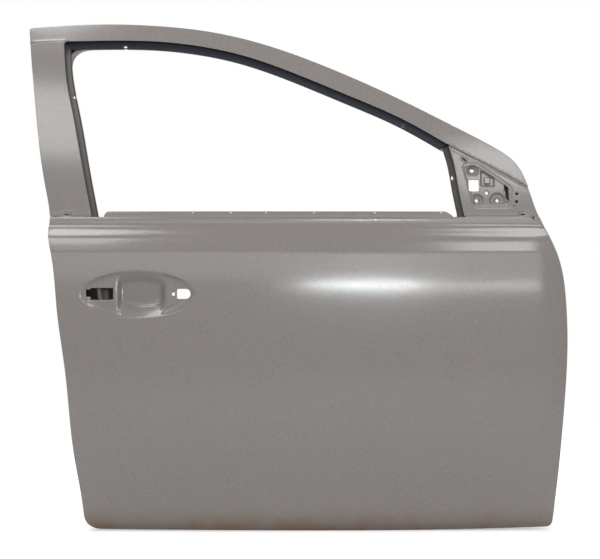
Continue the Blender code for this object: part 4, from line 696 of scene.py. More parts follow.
class Press:
    """Closed plane outline that presses a sheet down or up inside it, with a sloped border."""

    def __init__(self, loop, slope, depth):
        self.loop = evenly(loop)
        self.slope = slope
        self.depth = depth
        area = self.loop[:, 0] @ np.roll(self.loop[:, 1], -1) - self.loop[:, 1] @ np.roll(self.loop[:, 0], -1)
        if area < 0:
            self.loop = self.loop[::-1]

    def inset(self, x, z):
        """Distance inside the outline, negative outside it."""
        points = np.column_stack([np.ravel(x), np.ravel(z)])
        best = distance_to(points, self.loop, np.roll(self.loop, -1, axis=0))
        return np.where(within(points, self.loop), best, -best).reshape(np.shape(x))

    def __call__(self, x, z):
        x, z = np.asarray(x, float), np.asarray(z, float)
        near = (x > self.loop[:, 0].min()) & (x < self.loop[:, 0].max())
        near &= (z > self.loop[:, 1].min()) & (z < self.loop[:, 1].max())
        out = np.zeros(np.shape(x))
        if near.any():
            inset = self.inset(x[near], z[near]) if x.ndim else self.inset(x, z)
            out[near] = self.depth * ramp(inset, 0.0, self.slope)
        return out

    def offset(self, distance):
        """The outline moved inwards."""
        ahead = np.roll(self.loop, -1, axis=0) - self.loop
        ahead /= np.linalg.norm(ahead, axis=1)[:, None]
        behind = np.roll(ahead, 1, axis=0)
        side = np.column_stack([-(ahead + behind)[:, 1], (ahead + behind)[:, 0]])
        grow = 1 + (ahead * behind).sum(axis=1)
        return self.loop + side * (distance / np.maximum(grow, 0.5))[:, None]

    def lines(self):
        """Loops that follow the sloped border."""
        return [closed(self.offset(self.slope * share)) for share in PRESS_LINE_SHARES]


def closed(loop):
    """Loop with its first point repeated at its end."""
    return np.vstack([loop, loop[:1]])


def ellipse(x, z, half_x, half_z, count=24):
    """Anticlockwise loop of points round a centre."""
    angles = math.tau * np.arange(count) / count
    return np.column_stack([x + half_x * np.cos(angles), z + half_z * np.sin(angles)])


def circle(x, z, radius, count=24):
    """Anticlockwise round loop."""
    return ellipse(x, z, radius, radius, count)


def softened(loop, radius, steps=5):
    """Closed loop with each corner rounded."""
    loop = np.array(loop, float)
    out = []
    for before, point, after in zip(np.roll(loop, 1, axis=0), loop, np.roll(loop, -1, axis=0)):
        back, ahead = before - point, after - point
        cut = min(radius, 0.48 * np.linalg.norm(back), 0.48 * np.linalg.norm(ahead))
        start = point + back / np.linalg.norm(back) * cut
        end = point + ahead / np.linalg.norm(ahead) * cut
        out += [arc(start, point, end, t) for t in np.linspace(0.0, 1.0, steps + 1)]
    return np.array(out)


def softened_path(points, steps=6):
    """Bend through three points as a smooth arc."""
    a, b, c = (np.array(p) for p in points)
    return arc(a, b, c, np.linspace(0.0, 1.0, steps)[:, None]).tolist()


def box_loop(x0, x1, z0, z1):
    """Anticlockwise rectangle."""
    return [(x0, z0), (x1, z0), (x1, z1), (x0, z1)]


def bead(start, end, half, slope, depth):
    """Long press with round ends between two plane points."""
    start, end = np.array(start, float), np.array(end, float)
    along = (end - start) / np.linalg.norm(end - start)
    angle = math.atan2(along[1], along[0])
    turns = np.linspace(-math.pi / 2, math.pi / 2, 9)
    right = end + half * np.column_stack([np.cos(turns + angle), np.sin(turns + angle)])
    left = start - half * np.column_stack([np.cos(turns + angle), np.sin(turns + angle)])
    return Press(np.vstack([right, left]), slope, depth)


def new_object(name, data):
    """Object linked to the scene."""
    piece = bpy.data.objects.new(name, data)
    bpy.context.scene.collection.objects.link(piece)
    return piece


def mesh_from(net, name):
    """Mesh made of a finished net of faces."""
    mesh = bpy.data.meshes.new(name)
    net.to_mesh(mesh)
    net.free()
    return mesh


class Net:
    """One side of a pressed sheet, built patch by patch; patches meet at shared points."""

    def __init__(self):
        self.points = []
        self.faces = []
        self.count = 0

    def add(self, points):
        self.points.append(np.asarray(points, float))
        self.count += len(points)
        return self.count - len(points)

    def strip(self, rings, closed_rings=False):
        """Quads between neighbouring rings, which run anticlockwise and follow each other to the left."""
        rings = np.array(rings)
        rows, columns = rings.shape[:2]
        index = self.add(rings.reshape(-1, 3)) + np.arange(rows * columns).reshape(rows, columns)
        ahead = np.roll(index, -1, axis=1)
        low, high = index[:-1], index[1:]
        low_ahead, high_ahead = ahead[:-1], ahead[1:]
        if not closed_rings:
            low, high, low_ahead, high_ahead = (a[:, :-1] for a in (low, high, low_ahead, high_ahead))
        self.faces += np.stack([low, low_ahead, high_ahead, high], axis=-1).reshape(-1, 4).tolist()
        return rings[-1]

    def fill(self, outer, holes=(), lines=(), surface=skin, step=ALONG, dense=()):
        """Triangles inside an outer ring and outside holes, with lines and a grid, lifted onto a surface."""
        outer = np.asarray(outer, float)
        loops = [outer[:, [0, 2]]] + [np.asarray(hole, float) for hole in holes]
        plane, edges = [], []
        start = 0
        for loop in loops:
            plane.append(loop)
            turn = start + np.arange(len(loop))
            edges += np.column_stack([turn, np.roll(turn, -1)]).tolist()
            start += len(loop)
        for line in lines:
            line = np.asarray(line, float)
            plane.append(line)
            edges += [(start + k, start + k + 1) for k in range(len(line) - 1)]
            start += len(line)
        known = np.concatenate(plane)
        grid = grid_points(loops[0], step)
        for middle, half_x, half_z, fine in dense:
            extra = box_grid(middle[0] - half_x, middle[0] + half_x,
                             middle[1] - half_z, middle[1] + half_z, fine)
            keep = (abs(grid[:, 0] - middle[0]) > half_x) | (abs(grid[:, 1] - middle[1]) > half_z)
            grid = np.concatenate([grid[keep], extra])
        grid = grid[within(grid, loops[0])]
        tree = KDTree(len(known))
        for k, (x, z) in enumerate(known):
            tree.insert((x, z, 0.0), k)
        tree.balance()
        fine_of = np.full(len(grid), step)
        for middle, half_x, half_z, fine in dense:
            fine_of[(abs(grid[:, 0] - middle[0]) <= half_x) & (abs(grid[:, 1] - middle[1]) <= half_z)] = fine
        clear = [tree.find((x, z, 0.0))[2] > 0.55 * gap for (x, z), gap in zip(grid, fine_of)]
        plane = np.concatenate([known, grid[np.array(clear, bool)]])
        spots, _, cells, sources, _, _ = delaunay_2d_cdt([Vector(p) for p in plane], edges, [], 0, 1e-7)
        spots = np.array([tuple(s) for s in spots])
        lifted_points = np.column_stack([spots[:, 0], surface(spots[:, 0], spots[:, 1]), spots[:, 1]])
        for k, source in enumerate(sources):
            fixed = [s for s in source if s < len(outer)]
            if fixed:
                lifted_points[k] = outer[fixed[0]]
        cells = np.array([c for c in cells if len(c) == 3])
        middles = spots[cells].mean(axis=1)
        keep = within(middles, loops[0])
        for hole in loops[1:]:
            near = (middles > hole.min(axis=0)).all(axis=1) & (middles < hole.max(axis=0)).all(axis=1)
            keep[near] &= ~within(middles[near], hole)
        start = self.add(lifted_points)
        self.faces += (cells[keep] + start).tolist()

    def make(self, name, sheet, nodes, material, even=True):
        """Object of full thickness that stands for CAD nodes."""
        mesh = bpy.data.meshes.new(name)
        mesh.from_pydata(np.concatenate(self.points).tolist(), [], self.faces)
        net = bmesh.new()
        net.from_mesh(mesh)
        bmesh.ops.remove_doubles(net, verts=net.verts, dist=MERGE_DISTANCE)
        loose = [v for v in net.verts if not v.link_faces]
        bmesh.ops.delete(net, geom=loose, context="VERTS")
        net.to_mesh(mesh)
        net.free()
        piece = new_object(name, mesh)
        wall = piece.modifiers.new("thickness", "SOLIDIFY")
        wall.thickness = sheet
        wall.offset = -1.0
        wall.use_even_offset = even
        wall.use_rim = True
        return finished(piece, nodes, material)


def box_grid(x0, x1, z0, z1, step):
    """Even grid of plane points."""
    xs = np.linspace(x0, x1, max(2, int(round((x1 - x0) / step)) + 1))
    zs = np.linspace(z0, z1, max(2, int(round((z1 - z0) / step)) + 1))
    return np.array([(x, z) for z in zs for x in xs])


def grid_points(loop, step):
    """Even grid over a loop's box."""
    low, high = loop.min(axis=0), loop.max(axis=0)
    return box_grid(low[0] + step / 2, high[0] - step / 2, low[1] + step / 2, high[1] - step / 2, step)


def finished(piece, nodes, material):
    """Shifts a piece to the frame, shades it, gives it its finish, hangs it under the root body and hides the
    CAD nodes it stands for.
    """
    piece.data.transform(Matrix.Translation(SHIFT))
    piece.data.shade_smooth()
    piece.data.set_sharp_from_angle(angle=SMOOTH_ANGLE)
    piece.data.materials.clear()
    piece.data.materials.append(material)
    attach(piece, "root")
    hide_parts(*nodes)
    return piece


# Skin and window frame


def handle_loop(shares):
    """Loop in the handle recess, from shares of the recess's half sizes."""
    x, z = body_point(HANDLE_CENTRE_SHARE)
    return [(x + HANDLE_HALF_LENGTH * u, z + HANDLE_HALF_HEIGHT * v) for u, v in shares]


def make_outer_panel(material):
    """Skin with hem, shoulder, tuck and handle recess."""
    net = Net()
    rings = []
    for inset, depth in ((HEM_WIDTH, HEM_DEPTH), (0.0, HEM_DEPTH), (0.0, 0.0), (EDGE_BAND, 0.0)):
        rings.append(lifted(outline(inset)[SKIN_FIRST:SKIN_LAST + 1], depth))
    rings = rounded(rings, (HEM_BEND, HEM_BEND))
    rings = rings[:-1] + between(rings[-2:], 3)[1:]
    edge = net.strip(rings)
    xs = np.linspace(edge[-1][0], edge[0][0], int(DOOR_LENGTH / ALONG))[1:-1]
    level = edge[0][2]
    top = np.column_stack([xs, skin(xs, np.full(len(xs), level)), np.full(len(xs), level)])
    x, z = body_point(HANDLE_CENTRE_SHARE)
    holes = [softened(handle_loop(REAR_HOLE_SHARES), 0.0016),
             softened(handle_loop(FRONT_HOLE_SHARES), 0.0035),
             softened(handle_loop(box_loop(*CATCH_HOLE_SHARES)), 0.001)]
    lines = [closed(ellipse(x, z, HANDLE_HALF_LENGTH * s, HANDLE_HALF_HEIGHT * s, 180))
             for s in (1.006, 1.0, 0.99, 0.97, 0.945, 0.92, 0.89, 0.86)]
    for share in np.arange(0.885, SKIN_TOP_SHARE - 0.003, 0.007):
        z_line = BELT_HEIGHT * share
        ends = [np.interp(z_line, *side) for side in ((edge[:60, 2][::-1], edge[:60, 0][::-1]),
                                                       (edge[-60:, 2], edge[-60:, 0]))]
        lines.append([(x, z_line) for x in np.linspace(ends[0] + 0.004, ends[1] - 0.004, 190)])
    net.fill(np.concatenate([edge, top]), holes, lines, dished, 0.007,
             [((x, z), HANDLE_HALF_LENGTH * 1.02, HANDLE_HALF_HEIGHT * 1.04, 0.0022)])
    return net.make("door_skin", SKIN_SHEET, ["outer_panel"], material)


def corner_sash(net, places):
    """Pillar's window edge with the rounded top corner; gives its face's ring from the foot up."""
    start, low = window_head.length - WINDOW_ROUND + FRAME_GAP / 2, places[0]
    rings = []
    for inset, depth in ((-2 * HEM_BEND, 0.0), (0.0, 0.0), (0.0, SASH_RETURN)):
        head, rear_end = window_head.moved([start], inset)[0], window_rear.moved([low], inset)[0]
        along, down = window_head.at([start])[1][0], window_rear.at([low])[1][0]
        gap = rear_end - head
        reach = (gap[0] * down[1] - gap[1] * down[0]) / (along[0] * down[1] - along[1] * down[0])
        corner = head + along * reach
        arc = softened_path([head, corner, rear_end], 14)[:-1]
        rings.append(lifted(np.concatenate([arc, window_rear.moved(places, inset)]), depth))
    net.strip(rounded(rings, (HEM_BEND,)))
    return rings[0][::-1]


def seam_height(x):
    """Height of the weld seam between header and pillar at a place along the door."""
    (ax, az), (bx, bz) = (frame_point(s) for s in SEAM_SHARES)
    return az + (bz - az) * (x - ax) / (bx - ax)


def seamed(x, z):
    """Frame surface with the low ridge along the seam."""
    (ax, _), (bx, _) = (frame_point(s) for s in SEAM_SHARES)
    ridge = np.exp(-((z - seam_height(x)) / SEAM_SPREAD) ** 2) * ramp(x, ax, ax + SEAM_FADE)
    return tucked(x, z) - SEAM_RISE * ridge * (1 - ramp(x, bx - SEAM_FADE / 2, bx))


def seam_lines(side):
    """Lines beside the seam, below it (-1) or above it (1)."""
    xs = np.linspace(frame_point(SEAM_SHARES[0])[0] + 0.006, frame_point(SEAM_SHARES[1])[0] - 0.004, 24)
    return [[(x, seam_height(x) + side * gap) for x in xs] for gap in (0.0015, 0.003, 0.0045, 0.006)]


def sash(net, curve, places):
    """Window edge of a sash along a window curve, with its return; gives its face's ring."""
    rings = [lifted(curve.moved(places, inset), depth) for inset, depth in
             ((-2 * HEM_BEND, 0.0), (0.0, 0.0), (0.0, SASH_RETURN))]
    net.strip(rounded(rings, (HEM_BEND,)))
    return rings[0][::-1]


def hemmed(net, parts):
    """Hemmed outer edge along some slices of the outline; gives the ring where it meets the face."""
    rings = []
    for inset, depth in ((HEM_WIDTH, HEM_DEPTH), (0.0, HEM_DEPTH), (0.0, 0.0), (FACE_BAND, 0.0)):
        ring = outline(inset)
        rings.append(lifted(np.concatenate([ring[part] for part in parts]), depth))
    return net.strip(rounded(rings, (HEM_BEND, HEM_BEND)))


def at_level(curve, share):
    """Place on a curve at a share of the frame above the belt."""
    return float(curve.crossing(1, level(share)))


def tongue_points(shares):
    """Points of a tongue that dives behind the skin's top edge."""
    corners = frame_points(shares)
    steps = []
    for (ax, az), (bx, bz) in zip(corners, corners[1:]):
        count = max(1, int(math.hypot(bx - ax, bz - az) / 0.004))
        steps += [(ax + (bx - ax) * k / count, az + (bz - az) * k / count) for k in range(count)]
    return onto(steps + corners[-1:], tucked)


def tuck_lines(x0, x1):
    """Level lines across a tongue where its surface bends."""
    low, high = (BELT_HEIGHT * s for s in TUCK_SHARES_OF_BELT)
    xs = np.linspace(x0, x1, max(4, int((x1 - x0) / ALONG)))
    return [[(x, z) for x in xs] for z in np.linspace(low, high, 6)]


def seam_edge(start, end):
    """Points between a seam's two ends, without them."""
    shares = np.linspace(0.0, 1.0, 22)[1:-1, None]
    plane = start[[0, 2]] * (1 - shares) + end[[0, 2]] * shares
    return onto(plane, seamed)


def make_pillar_outer(material):
    """Rear part of the window frame with its hem, window return, tongue and slotted dimple."""
    dimple = bead(*frame_points(PILLAR_DIMPLE_SHARES), SAIL_DIMPLE_RADIUS, 0.0035, 0.0020)
    slot = bead(*frame_points(PILLAR_SLOT_SHARES), 0.0015, 0.0015, 0.0).loop

    def surface(x, z):
        return seamed(x, z) + dimple(x, z)

    net = Net()
    side = hemmed(net, [slice(PILLAR_FIRST, PILLAR_LAST + 1)])
    inner = corner_sash(net, np.linspace(WINDOW_ROUND, at_level(window_rear, 0.002), 90))
    lines = tuck_lines(side[-1][0] + 0.002, inner[0][0] - 0.002) + seam_lines(-1) + dimple.lines()
    seam = seam_edge(inner[-1], side[0])
    net.fill(np.concatenate([side, tongue_points(PILLAR_TONGUE_SHARES), inner, seam]), [slot], lines,
             surface, ALONG)
    return net.make("frame_pillar", SKIN_SHEET, ["pillar_outer"], material)


def make_header_outer(material):
    """Roof-side part of the window frame with its hem and window return."""
    net = Net()
    side = hemmed(net, [slice(HEADER_FIRST, None), slice(0, HEADER_END + 1)])
    places = np.linspace(LEAST_CORNER, window_head.length - WINDOW_ROUND - FRAME_GAP / 2, 150)
    inner = sash(net, window_head, places)
    seam = seam_edge(side[-1], inner[0])
    lap = sail_head.moved(sail_head.length * np.array(SAIL_LAP_SHARES), 0.0)
    net.fill(np.concatenate([side, seam, inner, lifted(lap, 0.0)]), (), seam_lines(1), seamed)
    return net.make("frame_header", SKIN_SHEET, ["header_outer"], material)


# Mirror sail


def sail_presses():
    """Every pressed shape of the mirror sail."""
    pocket = ellipse(*frame_point(SAIL_POCKET_SHARE), SAIL_POCKET_RADIUS, SAIL_POCKET_RADIUS, 40)
    pocket[:, 1] = np.maximum(pocket[:, 1], frame_point(SAIL_POCKET_SHARE)[1] - SAIL_POCKET_FLOOR)
    presses = [Press(softened(frame_points(SAIL_FIELD_SHARES), 0.008), 0.0028, 0.0018),
               Press(softened(frame_points(SAIL_FLOOR_SHARES), 0.006), 0.0028, 0.0024),
               Press(softened(frame_points(SAIL_PAD_SHARES), 0.004), 0.0022, -0.0014),
               Press(pocket, 0.0060, 0.0068),
               Press(circle(*frame_point(SAIL_HOLE_SHARES[0][:2]), SAIL_BUTTON_RADIUS, 32), 0.0030, -0.0025),
               Press(softened(frame_points(SAIL_SQUARE_SHARES), 0.004), 0.0048, 0.0080),
               Press(softened(frame_points(SAIL_BUTTON_SHARES), 0.003), 0.0025, -0.0055),
               bead(*frame_points(SAIL_DIMPLE_SHARES), SAIL_DIMPLE_RADIUS, 0.0035, 0.0020)]
    low = frame_point(SAIL_FLOOR_SHARES[0])
    for share_x, share_z, radius in SAIL_CRESCENT_SHARES:
        x, z = frame_point((share_x, share_z))
        loop = circle(x, z, radius, 48)
        loop[:, 1] = np.maximum(loop[:, 1], low[1] + 0.0035)
        loop[:, 0] = np.maximum(loop[:, 0], low[0] - 0.0018)
        presses.append(Press(loop, 0.0052, 0.0066))
        presses.append(Press(circle(x, z, SAIL_BUTTON_RADIUS, 32), 0.0028, -0.0038))
    return presses


def make_sail(material):
    """Mirror sail with its pressed field, pockets and holes."""
    presses = sail_presses()
    top = sail_head.moved(np.linspace(0.0, sail_head.length, 60), 0.0)

    def surface(x, z):
        gap = distance_to(np.column_stack([x, z]), top, top[1:])
        rise = ramp(z, BELT_HEIGHT, level(SAIL_END_SHARE))
        joggle = SAIL_JOGGLE * (1 - ramp(gap, SAIL_JOGGLE_START, SAIL_JOGGLE_WIDTH)) * rise
        return tucked(x, z) + joggle + sum(press(x, z) for press in presses)

    net = Net()
    side = net.strip([lifted(outline(inset)[SAIL_FIRST:SAIL_LAST + 1], depth)
                      for inset, depth in ((FLANGE_EDGE, 0.0), (FACE_BAND, 0.0))])
    places = np.linspace(at_level(window_bar, 0.002), at_level(window_bar, 0.352), 50)
    inner = sash(net, window_bar, places)
    lap = sail_head.moved(sail_head.length * np.array(SAIL_LAP_SHARES[::-1]), FRAME_GAP)
    lap = onto(lap, surface)
    holes = [circle(*frame_point(s[:2]), s[2], 28) for s in SAIL_HOLE_SHARES]
    holes.append(softened(frame_points(SAIL_WINDOW_SHARES), 0.0035))
    holes.append(softened(frame_points(SAIL_WEDGE_SHARES), 0.002))
    for ends, half in ((SAIL_SLOT_SHARES, 0.0016), (SAIL_DIMPLE_SLOT_SHARES, 0.0015)):
        holes.append(bead(*frame_points(ends), half, half, 0.0).loop)
    lines = [line for press in presses for line in press.lines()]
    lines += tuck_lines(inner[-1][0] + 0.002, side[0][0] - 0.002)
    for share in (0.15, 0.45, 0.75, 1.0):
        places = sail_head.length * np.linspace(0.12, 0.93, 40)
        lines.append(sail_head.moved(places, share * SAIL_JOGGLE_WIDTH))
    centre = frame_point((0.862, 0.145))
    ring = np.concatenate([inner, tongue_points(SAIL_TONGUE_SHARES), side, lap])
    net.fill(ring, holes, lines, surface, 0.005, [(centre, 0.072, 0.062, 0.0018)])
    return net.make("mirror_sail", SKIN_SHEET, ["sail_panel"], material)


# Mirror plate and hard parts


def screw_spots():
    """Centre and radius of the three mirror screws."""
    return [(frame_point(s[:2]), s[2]) for s in SAIL_HOLE_SHARES[1:4]]


def make_mirror_plate(material):
    """Reinforcement behind the sail, with a raised pad and a nut at each mirror screw."""
    depth = SAIL_PLATE_DEPTH
    presses = [Press(circle(x, z, 0.0088, 32), 0.0040, SAIL_PAD_DEPTH - depth) for (x, z), _ in screw_spots()]

    def surface(x, z):
        return skin(x, z) + depth + sum(press(x, z) for press in presses)

    loop = softened(frame_points(MIRROR_PLATE_SHARES), 0.004)
    ring = np.column_stack([loop[:, 0], surface(loop[:, 0], loop[:, 1]), loop[:, 1]])
    net = Net()
    net.fill(ring, [circle(x, z, radius + 0.0004, 28) for (x, z), radius in screw_spots()],
             [line for press in presses for line in press.lines()], surface, 0.003)
    net.make("mirror_plate", HINGE_SHEET, ["mirror_reinforcement"], material)
    for k, ((x, z), _) in enumerate(screw_spots()):
        seat = float(skin(np.array(x), np.array(z))) + SAIL_PAD_DEPTH + HINGE_SHEET * 1.1
        nut = block("mirror_nut", circle(x, z, NUT_RADIUS, 6), seat, seat + NUT_HEIGHT, 1)
        bore = block("bore", circle(x, z, NUT_BORE, 24), seat - 0.001, seat + NUT_HEIGHT + 0.001, 1)
        finished(nut, [f"mirror_weld_nut_{k + 1}"], material)
        pierced(nut, [bore])
        bevelled(nut)


def bevelled(piece):
    """Rounds a hard piece's sharp edges a little."""
    bevel = piece.modifiers.new("edges", "BEVEL")
    bevel.width = EDGE_ROUND
    bevel.segments = 2
    bevel.limit_method = "ANGLE"
    bevel.angle_limit = math.radians(40)
    bevel.use_clamp_overlap = True
    return piece


def make_hard_parts():
    """Plates, nuts, brackets and pads: the solids' own shapes with their edges rounded."""
    for node in HARD_NODES:
        source = frame["nodes"][node]
        piece = new_object(node + "_part", source.data.copy())
        piece.data.transform(source.matrix_world)
        piece.data.transform(Matrix.Translation([-value for value in SHIFT]))
        finished(piece, [node], FINISHES[SLOTS[node]])
        if node in BRACKET_CUTS:
            loop = handle_loop(box_loop(*BRACKET_CUTS[node]))
            pierced(piece, [block("bracket_cut", loop, 0.0, BODY_DEPTH, 1)])
        bevelled(piece)


def make_beam(material):
    """Round tube of the side impact beam."""
    start = Vector((DOOR_LENGTH * BEAM_REAR_SHARE[0], BEAM_DEPTHS[0], BELT_HEIGHT * BEAM_REAR_SHARE[1]))
    end = Vector((DOOR_LENGTH * BEAM_FRONT_SHARE[0], BEAM_DEPTHS[1], BELT_HEIGHT * BEAM_FRONT_SHARE[1]))
    across = (end - start).cross(Vector((0, 1, 0))).normalized()
    up = across.cross(end - start).normalized()
    rings = []
    for place, radius in ((start, BEAM_RADIUS), (end, BEAM_RADIUS), (end, BEAM_RADIUS - BEAM_WALL),
                          (start, BEAM_RADIUS - BEAM_WALL), (start, BEAM_RADIUS)):
        rings.append([tuple(place + radius * (across * math.cos(a) + up * math.sin(a)))
                      for a in math.tau * np.arange(48) / 48])
    net = Net()
    net.strip(rings, True)
    piece = net.make("beam_tube", BEAM_WALL, ["impact_beam"], material)
    piece.modifiers.clear()


# Inner panel


def block(name, outline, low, high, axis):
    """Solid between two planes across x (axis 0) or y (axis 1), with an outline in the other two."""
    net = bmesh.new()
    rings = []
    for level in (low, high):
        ring = []
        for a, b in outline:
            ring.append(net.verts.new((level, a, b) if axis == 0 else (a, level, b)))
        rings.append(ring)
    net.faces.new(rings[0])
    net.faces.new(rings[1][::-1])
    for k in range(len(outline)):
        j = (k + 1) % len(outline)
        net.faces.new((rings[0][k], rings[1][k], rings[1][j], rings[0][j]))
    bmesh.ops.recalc_face_normals(net, faces=net.faces)
    return new_object(name, mesh_from(net, name))


def pierced(piece, cutters):
    """Takes cutters out of a piece for good."""
    for tool in cutters:
        tool.data.transform(Matrix.Translation(SHIFT))
        change = piece.modifiers.new(tool.name, "BOOLEAN")
        change.operation = "DIFFERENCE"
        change.solver = "EXACT"
        change.object = tool
    bpy.context.view_layer.update()
    mesh = bpy.data.meshes.new_from_object(piece.evaluated_get(bpy.context.evaluated_depsgraph_get()))
    piece.modifiers.clear()
    piece.data = mesh
    for tool in cutters:
        bpy.data.objects.remove(tool)
    mesh.set_sharp_from_angle(angle=SMOOTH_ANGLE)


def wall_cutters():
    """Hinge bolt holes, check link, loom and latch openings in the panel's walls."""
    near, far = (DOOR_LENGTH * HINGE_WALL_SHARE + reach for reach in WALL_CUT)
    cutters = []
    for centre in HINGE_SHARES:
        for side in (-1, 1):
            loop = circle(HINGE_LINE_DEPTH + side * HINGE_HOLE_OFFSET,
                          BELT_HEIGHT * centre + side * HINGE_HOLE_SPREAD, HINGE_HOLE_RADIUS, 32)
            cutters.append(block("bolt_cut", loop, near, far, 0))
    x, z = HINGE_LINE_DEPTH, BELT_HEIGHT * CHECK_SHARE
    loop = box_loop(x - CHECK_HALF_WIDTH, x + CHECK_HALF_WIDTH, z - CHECK_HALF_HEIGHT, z + CHECK_HALF_HEIGHT)
    cutters.append(block("check_cut", softened(loop, CHECK_CORNER), near, far, 0))
    cutters.append(block("loom_cut", circle(x, BELT_HEIGHT * LOOM_SHARE, LOOM_RADIUS, 40), near, far, 0))
    z = BELT_HEIGHT * LATCH_SHARE
    loop = softened(box_loop(*LATCH_DEPTHS, z - LATCH_HALF_HEIGHT, z + LATCH_HALF_HEIGHT), LATCH_CORNER)
    cutters.append(block("latch_cut", loop, *(DOOR_LENGTH * share for share in LATCH_CUT_SHARES), 0))
    for share, radius in SIGHT_CUTS:
        cutters.append(block("sight_cut", circle(*frame_point(share), radius, 24), *SIGHT_CUT_DEPTHS, 1))
    return cutters


def panel_presses():
    """Stiffening beads, rims and steps in the cabin face."""
    access = softened(body_points(ACCESS_SHARES), ACCESS_CORNER)
    rim = Press(access, 0.01, 0.0)
    presses = [Press(rim.offset(-0.016), 0.007, -0.004),
               Press(circle(*body_point(SPEAKER_SHARE), SPEAKER_RADIUS + SPEAKER_RIM, 72), 0.007, -0.005),
               Press(softened(body_points(PANEL_FIELD_SHARES), 0.012), 0.006, -0.003)]
    for a, b, half in PANEL_BEAD_SHARES:
        presses.append(bead(body_point(a), body_point(b), half, 0.006, -0.005))
    return presses


def make_inner_panel(material):
    """Inner panel: flange inside the hem, walls, weatherstrip shelf, cabin face and window flange."""
    wall = DOOR_LENGTH * HINGE_WALL_SHARE
    wide = FLANGE_WIDTH + WALL_DRAFT
    step = (wide + SHELF_WIDTH, wide + FRAME_SHELF_WIDTH)
    rings = [lifted(outline(FLANGE_EDGE), FLANGE_DEPTH),
             lifted(outline(FLANGE_WIDTH, limit=wall + WALL_BEND_REACH), FLANGE_DEPTH),
             lifted(outline(FLANGE_WIDTH + WALL_DRAFT / 2, limit=wall), FLANGE_DEPTH + WALL_BEND_DEPTH),
             lifted(outline(wide, limit=wall), 0.0, shelf),
             lifted(outline(*step, wall - SHELF_WIDTH), 0.0, shelf)]
    rings += [lifted(outline(step[0] + draft, step[1] + draft, wall - SHELF_WIDTH - draft), 0.0, inner_face)
              for draft in (WALL_DRAFT, 4 * WALL_DRAFT)]
    net = Net()
    around = net.strip(rounded(rings, (0.0015, 0.003, 0.003, 0.003, 0.003)), True)
    edge = [lifted(window(WINDOW_SIDE_REACH - back, WINDOW_HEAD_REACH - back), depth, surface)
            for back, depth, surface in ((4 * WALL_DRAFT, 0.0, inner_face), (0.0, 0.0, inner_face),
                                         (WALL_DRAFT, WINDOW_FLANGE_DEPTH, skin),
                                         (5 * WALL_DRAFT, WINDOW_FLANGE_DEPTH, skin))]
    edge = rounded(edge, (0.002, 0.0015))
    net.strip(edge, True)
    presses = panel_presses()

    def face(x, z):
        return inner_face(x, z) + sum(press(x, z) for press in presses)

    holes = [edge[0][:, [0, 2]], softened(body_points(ACCESS_SHARES), ACCESS_CORNER),
             softened(body_points(LATCH_ACCESS_SHARES), 0.008),
             softened(body_points(WIRING_SHARES), 0.012),
             softened(frame_points(SAIL_OPENING_SHARES), 0.006),
             circle(*body_point(SPEAKER_SHARE), SPEAKER_RADIUS, 96),
             circle(*body_point(PULL_SHARES[:2]), PULL_SHARES[2], 32)]
    holes += [circle(*body_point(s), TRIM_CLIP_RADIUS, 20) for s in TRIM_CLIP_SHARES]
    x, z = body_point(SPEAKER_SHARE)
    for turn in math.tau * (np.arange(4) + 0.5) / 4:
        spot = (x + SPEAKER_SCREW_CIRCLE * math.cos(turn), z + SPEAKER_SCREW_CIRCLE * math.sin(turn))
        holes.append(circle(*spot, SPEAKER_SCREW_RADIUS, 20))
    lines = [line for press in presses for line in press.lines()]
    for share in np.linspace(STEP_LOW_SHARE, STEP_HIGH_SHARE, 9):
        lines.append([(x, BELT_HEIGHT * share) for x in np.linspace(0.13, 1.06, 130)])
    net.fill(around, holes, lines, face, 0.008)
    piece = net.make("inner_panel_skin", PANEL_SHEET, ["inner_panel"], material, False)
    pierced(piece, wall_cutters())
    return piece


# Glass channels and belt strip


def behind_glass(depth):
    """Surface at a depth behind the glass plane."""
    return lambda x, z: glass_plane(x, z) + depth * stretch(glass_plane, x, z)


def make_channel(name, curve, places, reach, holes, node, material, mitres=(0.0, 0.0)):
    """U-shaped glass channel along a window curve, open to the glass, with mitred ends and a pierced back."""
    def line(inset):
        start = mitres[0] * inset * (1 - ramp(places, places[0], places[0] + CORNER_REACH))
        end = mitres[1] * inset * ramp(places, places[-1] - CORNER_REACH, places[-1])
        return curve.moved(places + start - end, inset)

    sheet = PANEL_SHEET
    front, back = CHANNEL_FRONT + sheet, CHANNEL_BACK - sheet
    base = CHANNEL_BASE - sheet
    rings = [lifted(line(inset), depth, glass_plane) for inset, depth in
             ((-CHANNEL_LIP, front), (-base, front), (-base, back), (-base + 2 * CHANNEL_BEND, back))]
    net = Net()
    low = net.strip(rounded(rings, (CHANNEL_BEND, CHANNEL_BEND)))
    edge = lifted(line(reach - 0.003), back, glass_plane)
    net.fill(np.concatenate([low, edge[::-1]]), holes, (), behind_glass(back), 0.005)
    rings = [edge, lifted(line(reach - 0.0005), back - CHANNEL_FLARE, glass_plane),
             lifted(line(reach), back - CHANNEL_FLARE, glass_plane)]
    net.strip(rounded(rings, (0.0006,)))
    return net.make(name, sheet, [node], material)


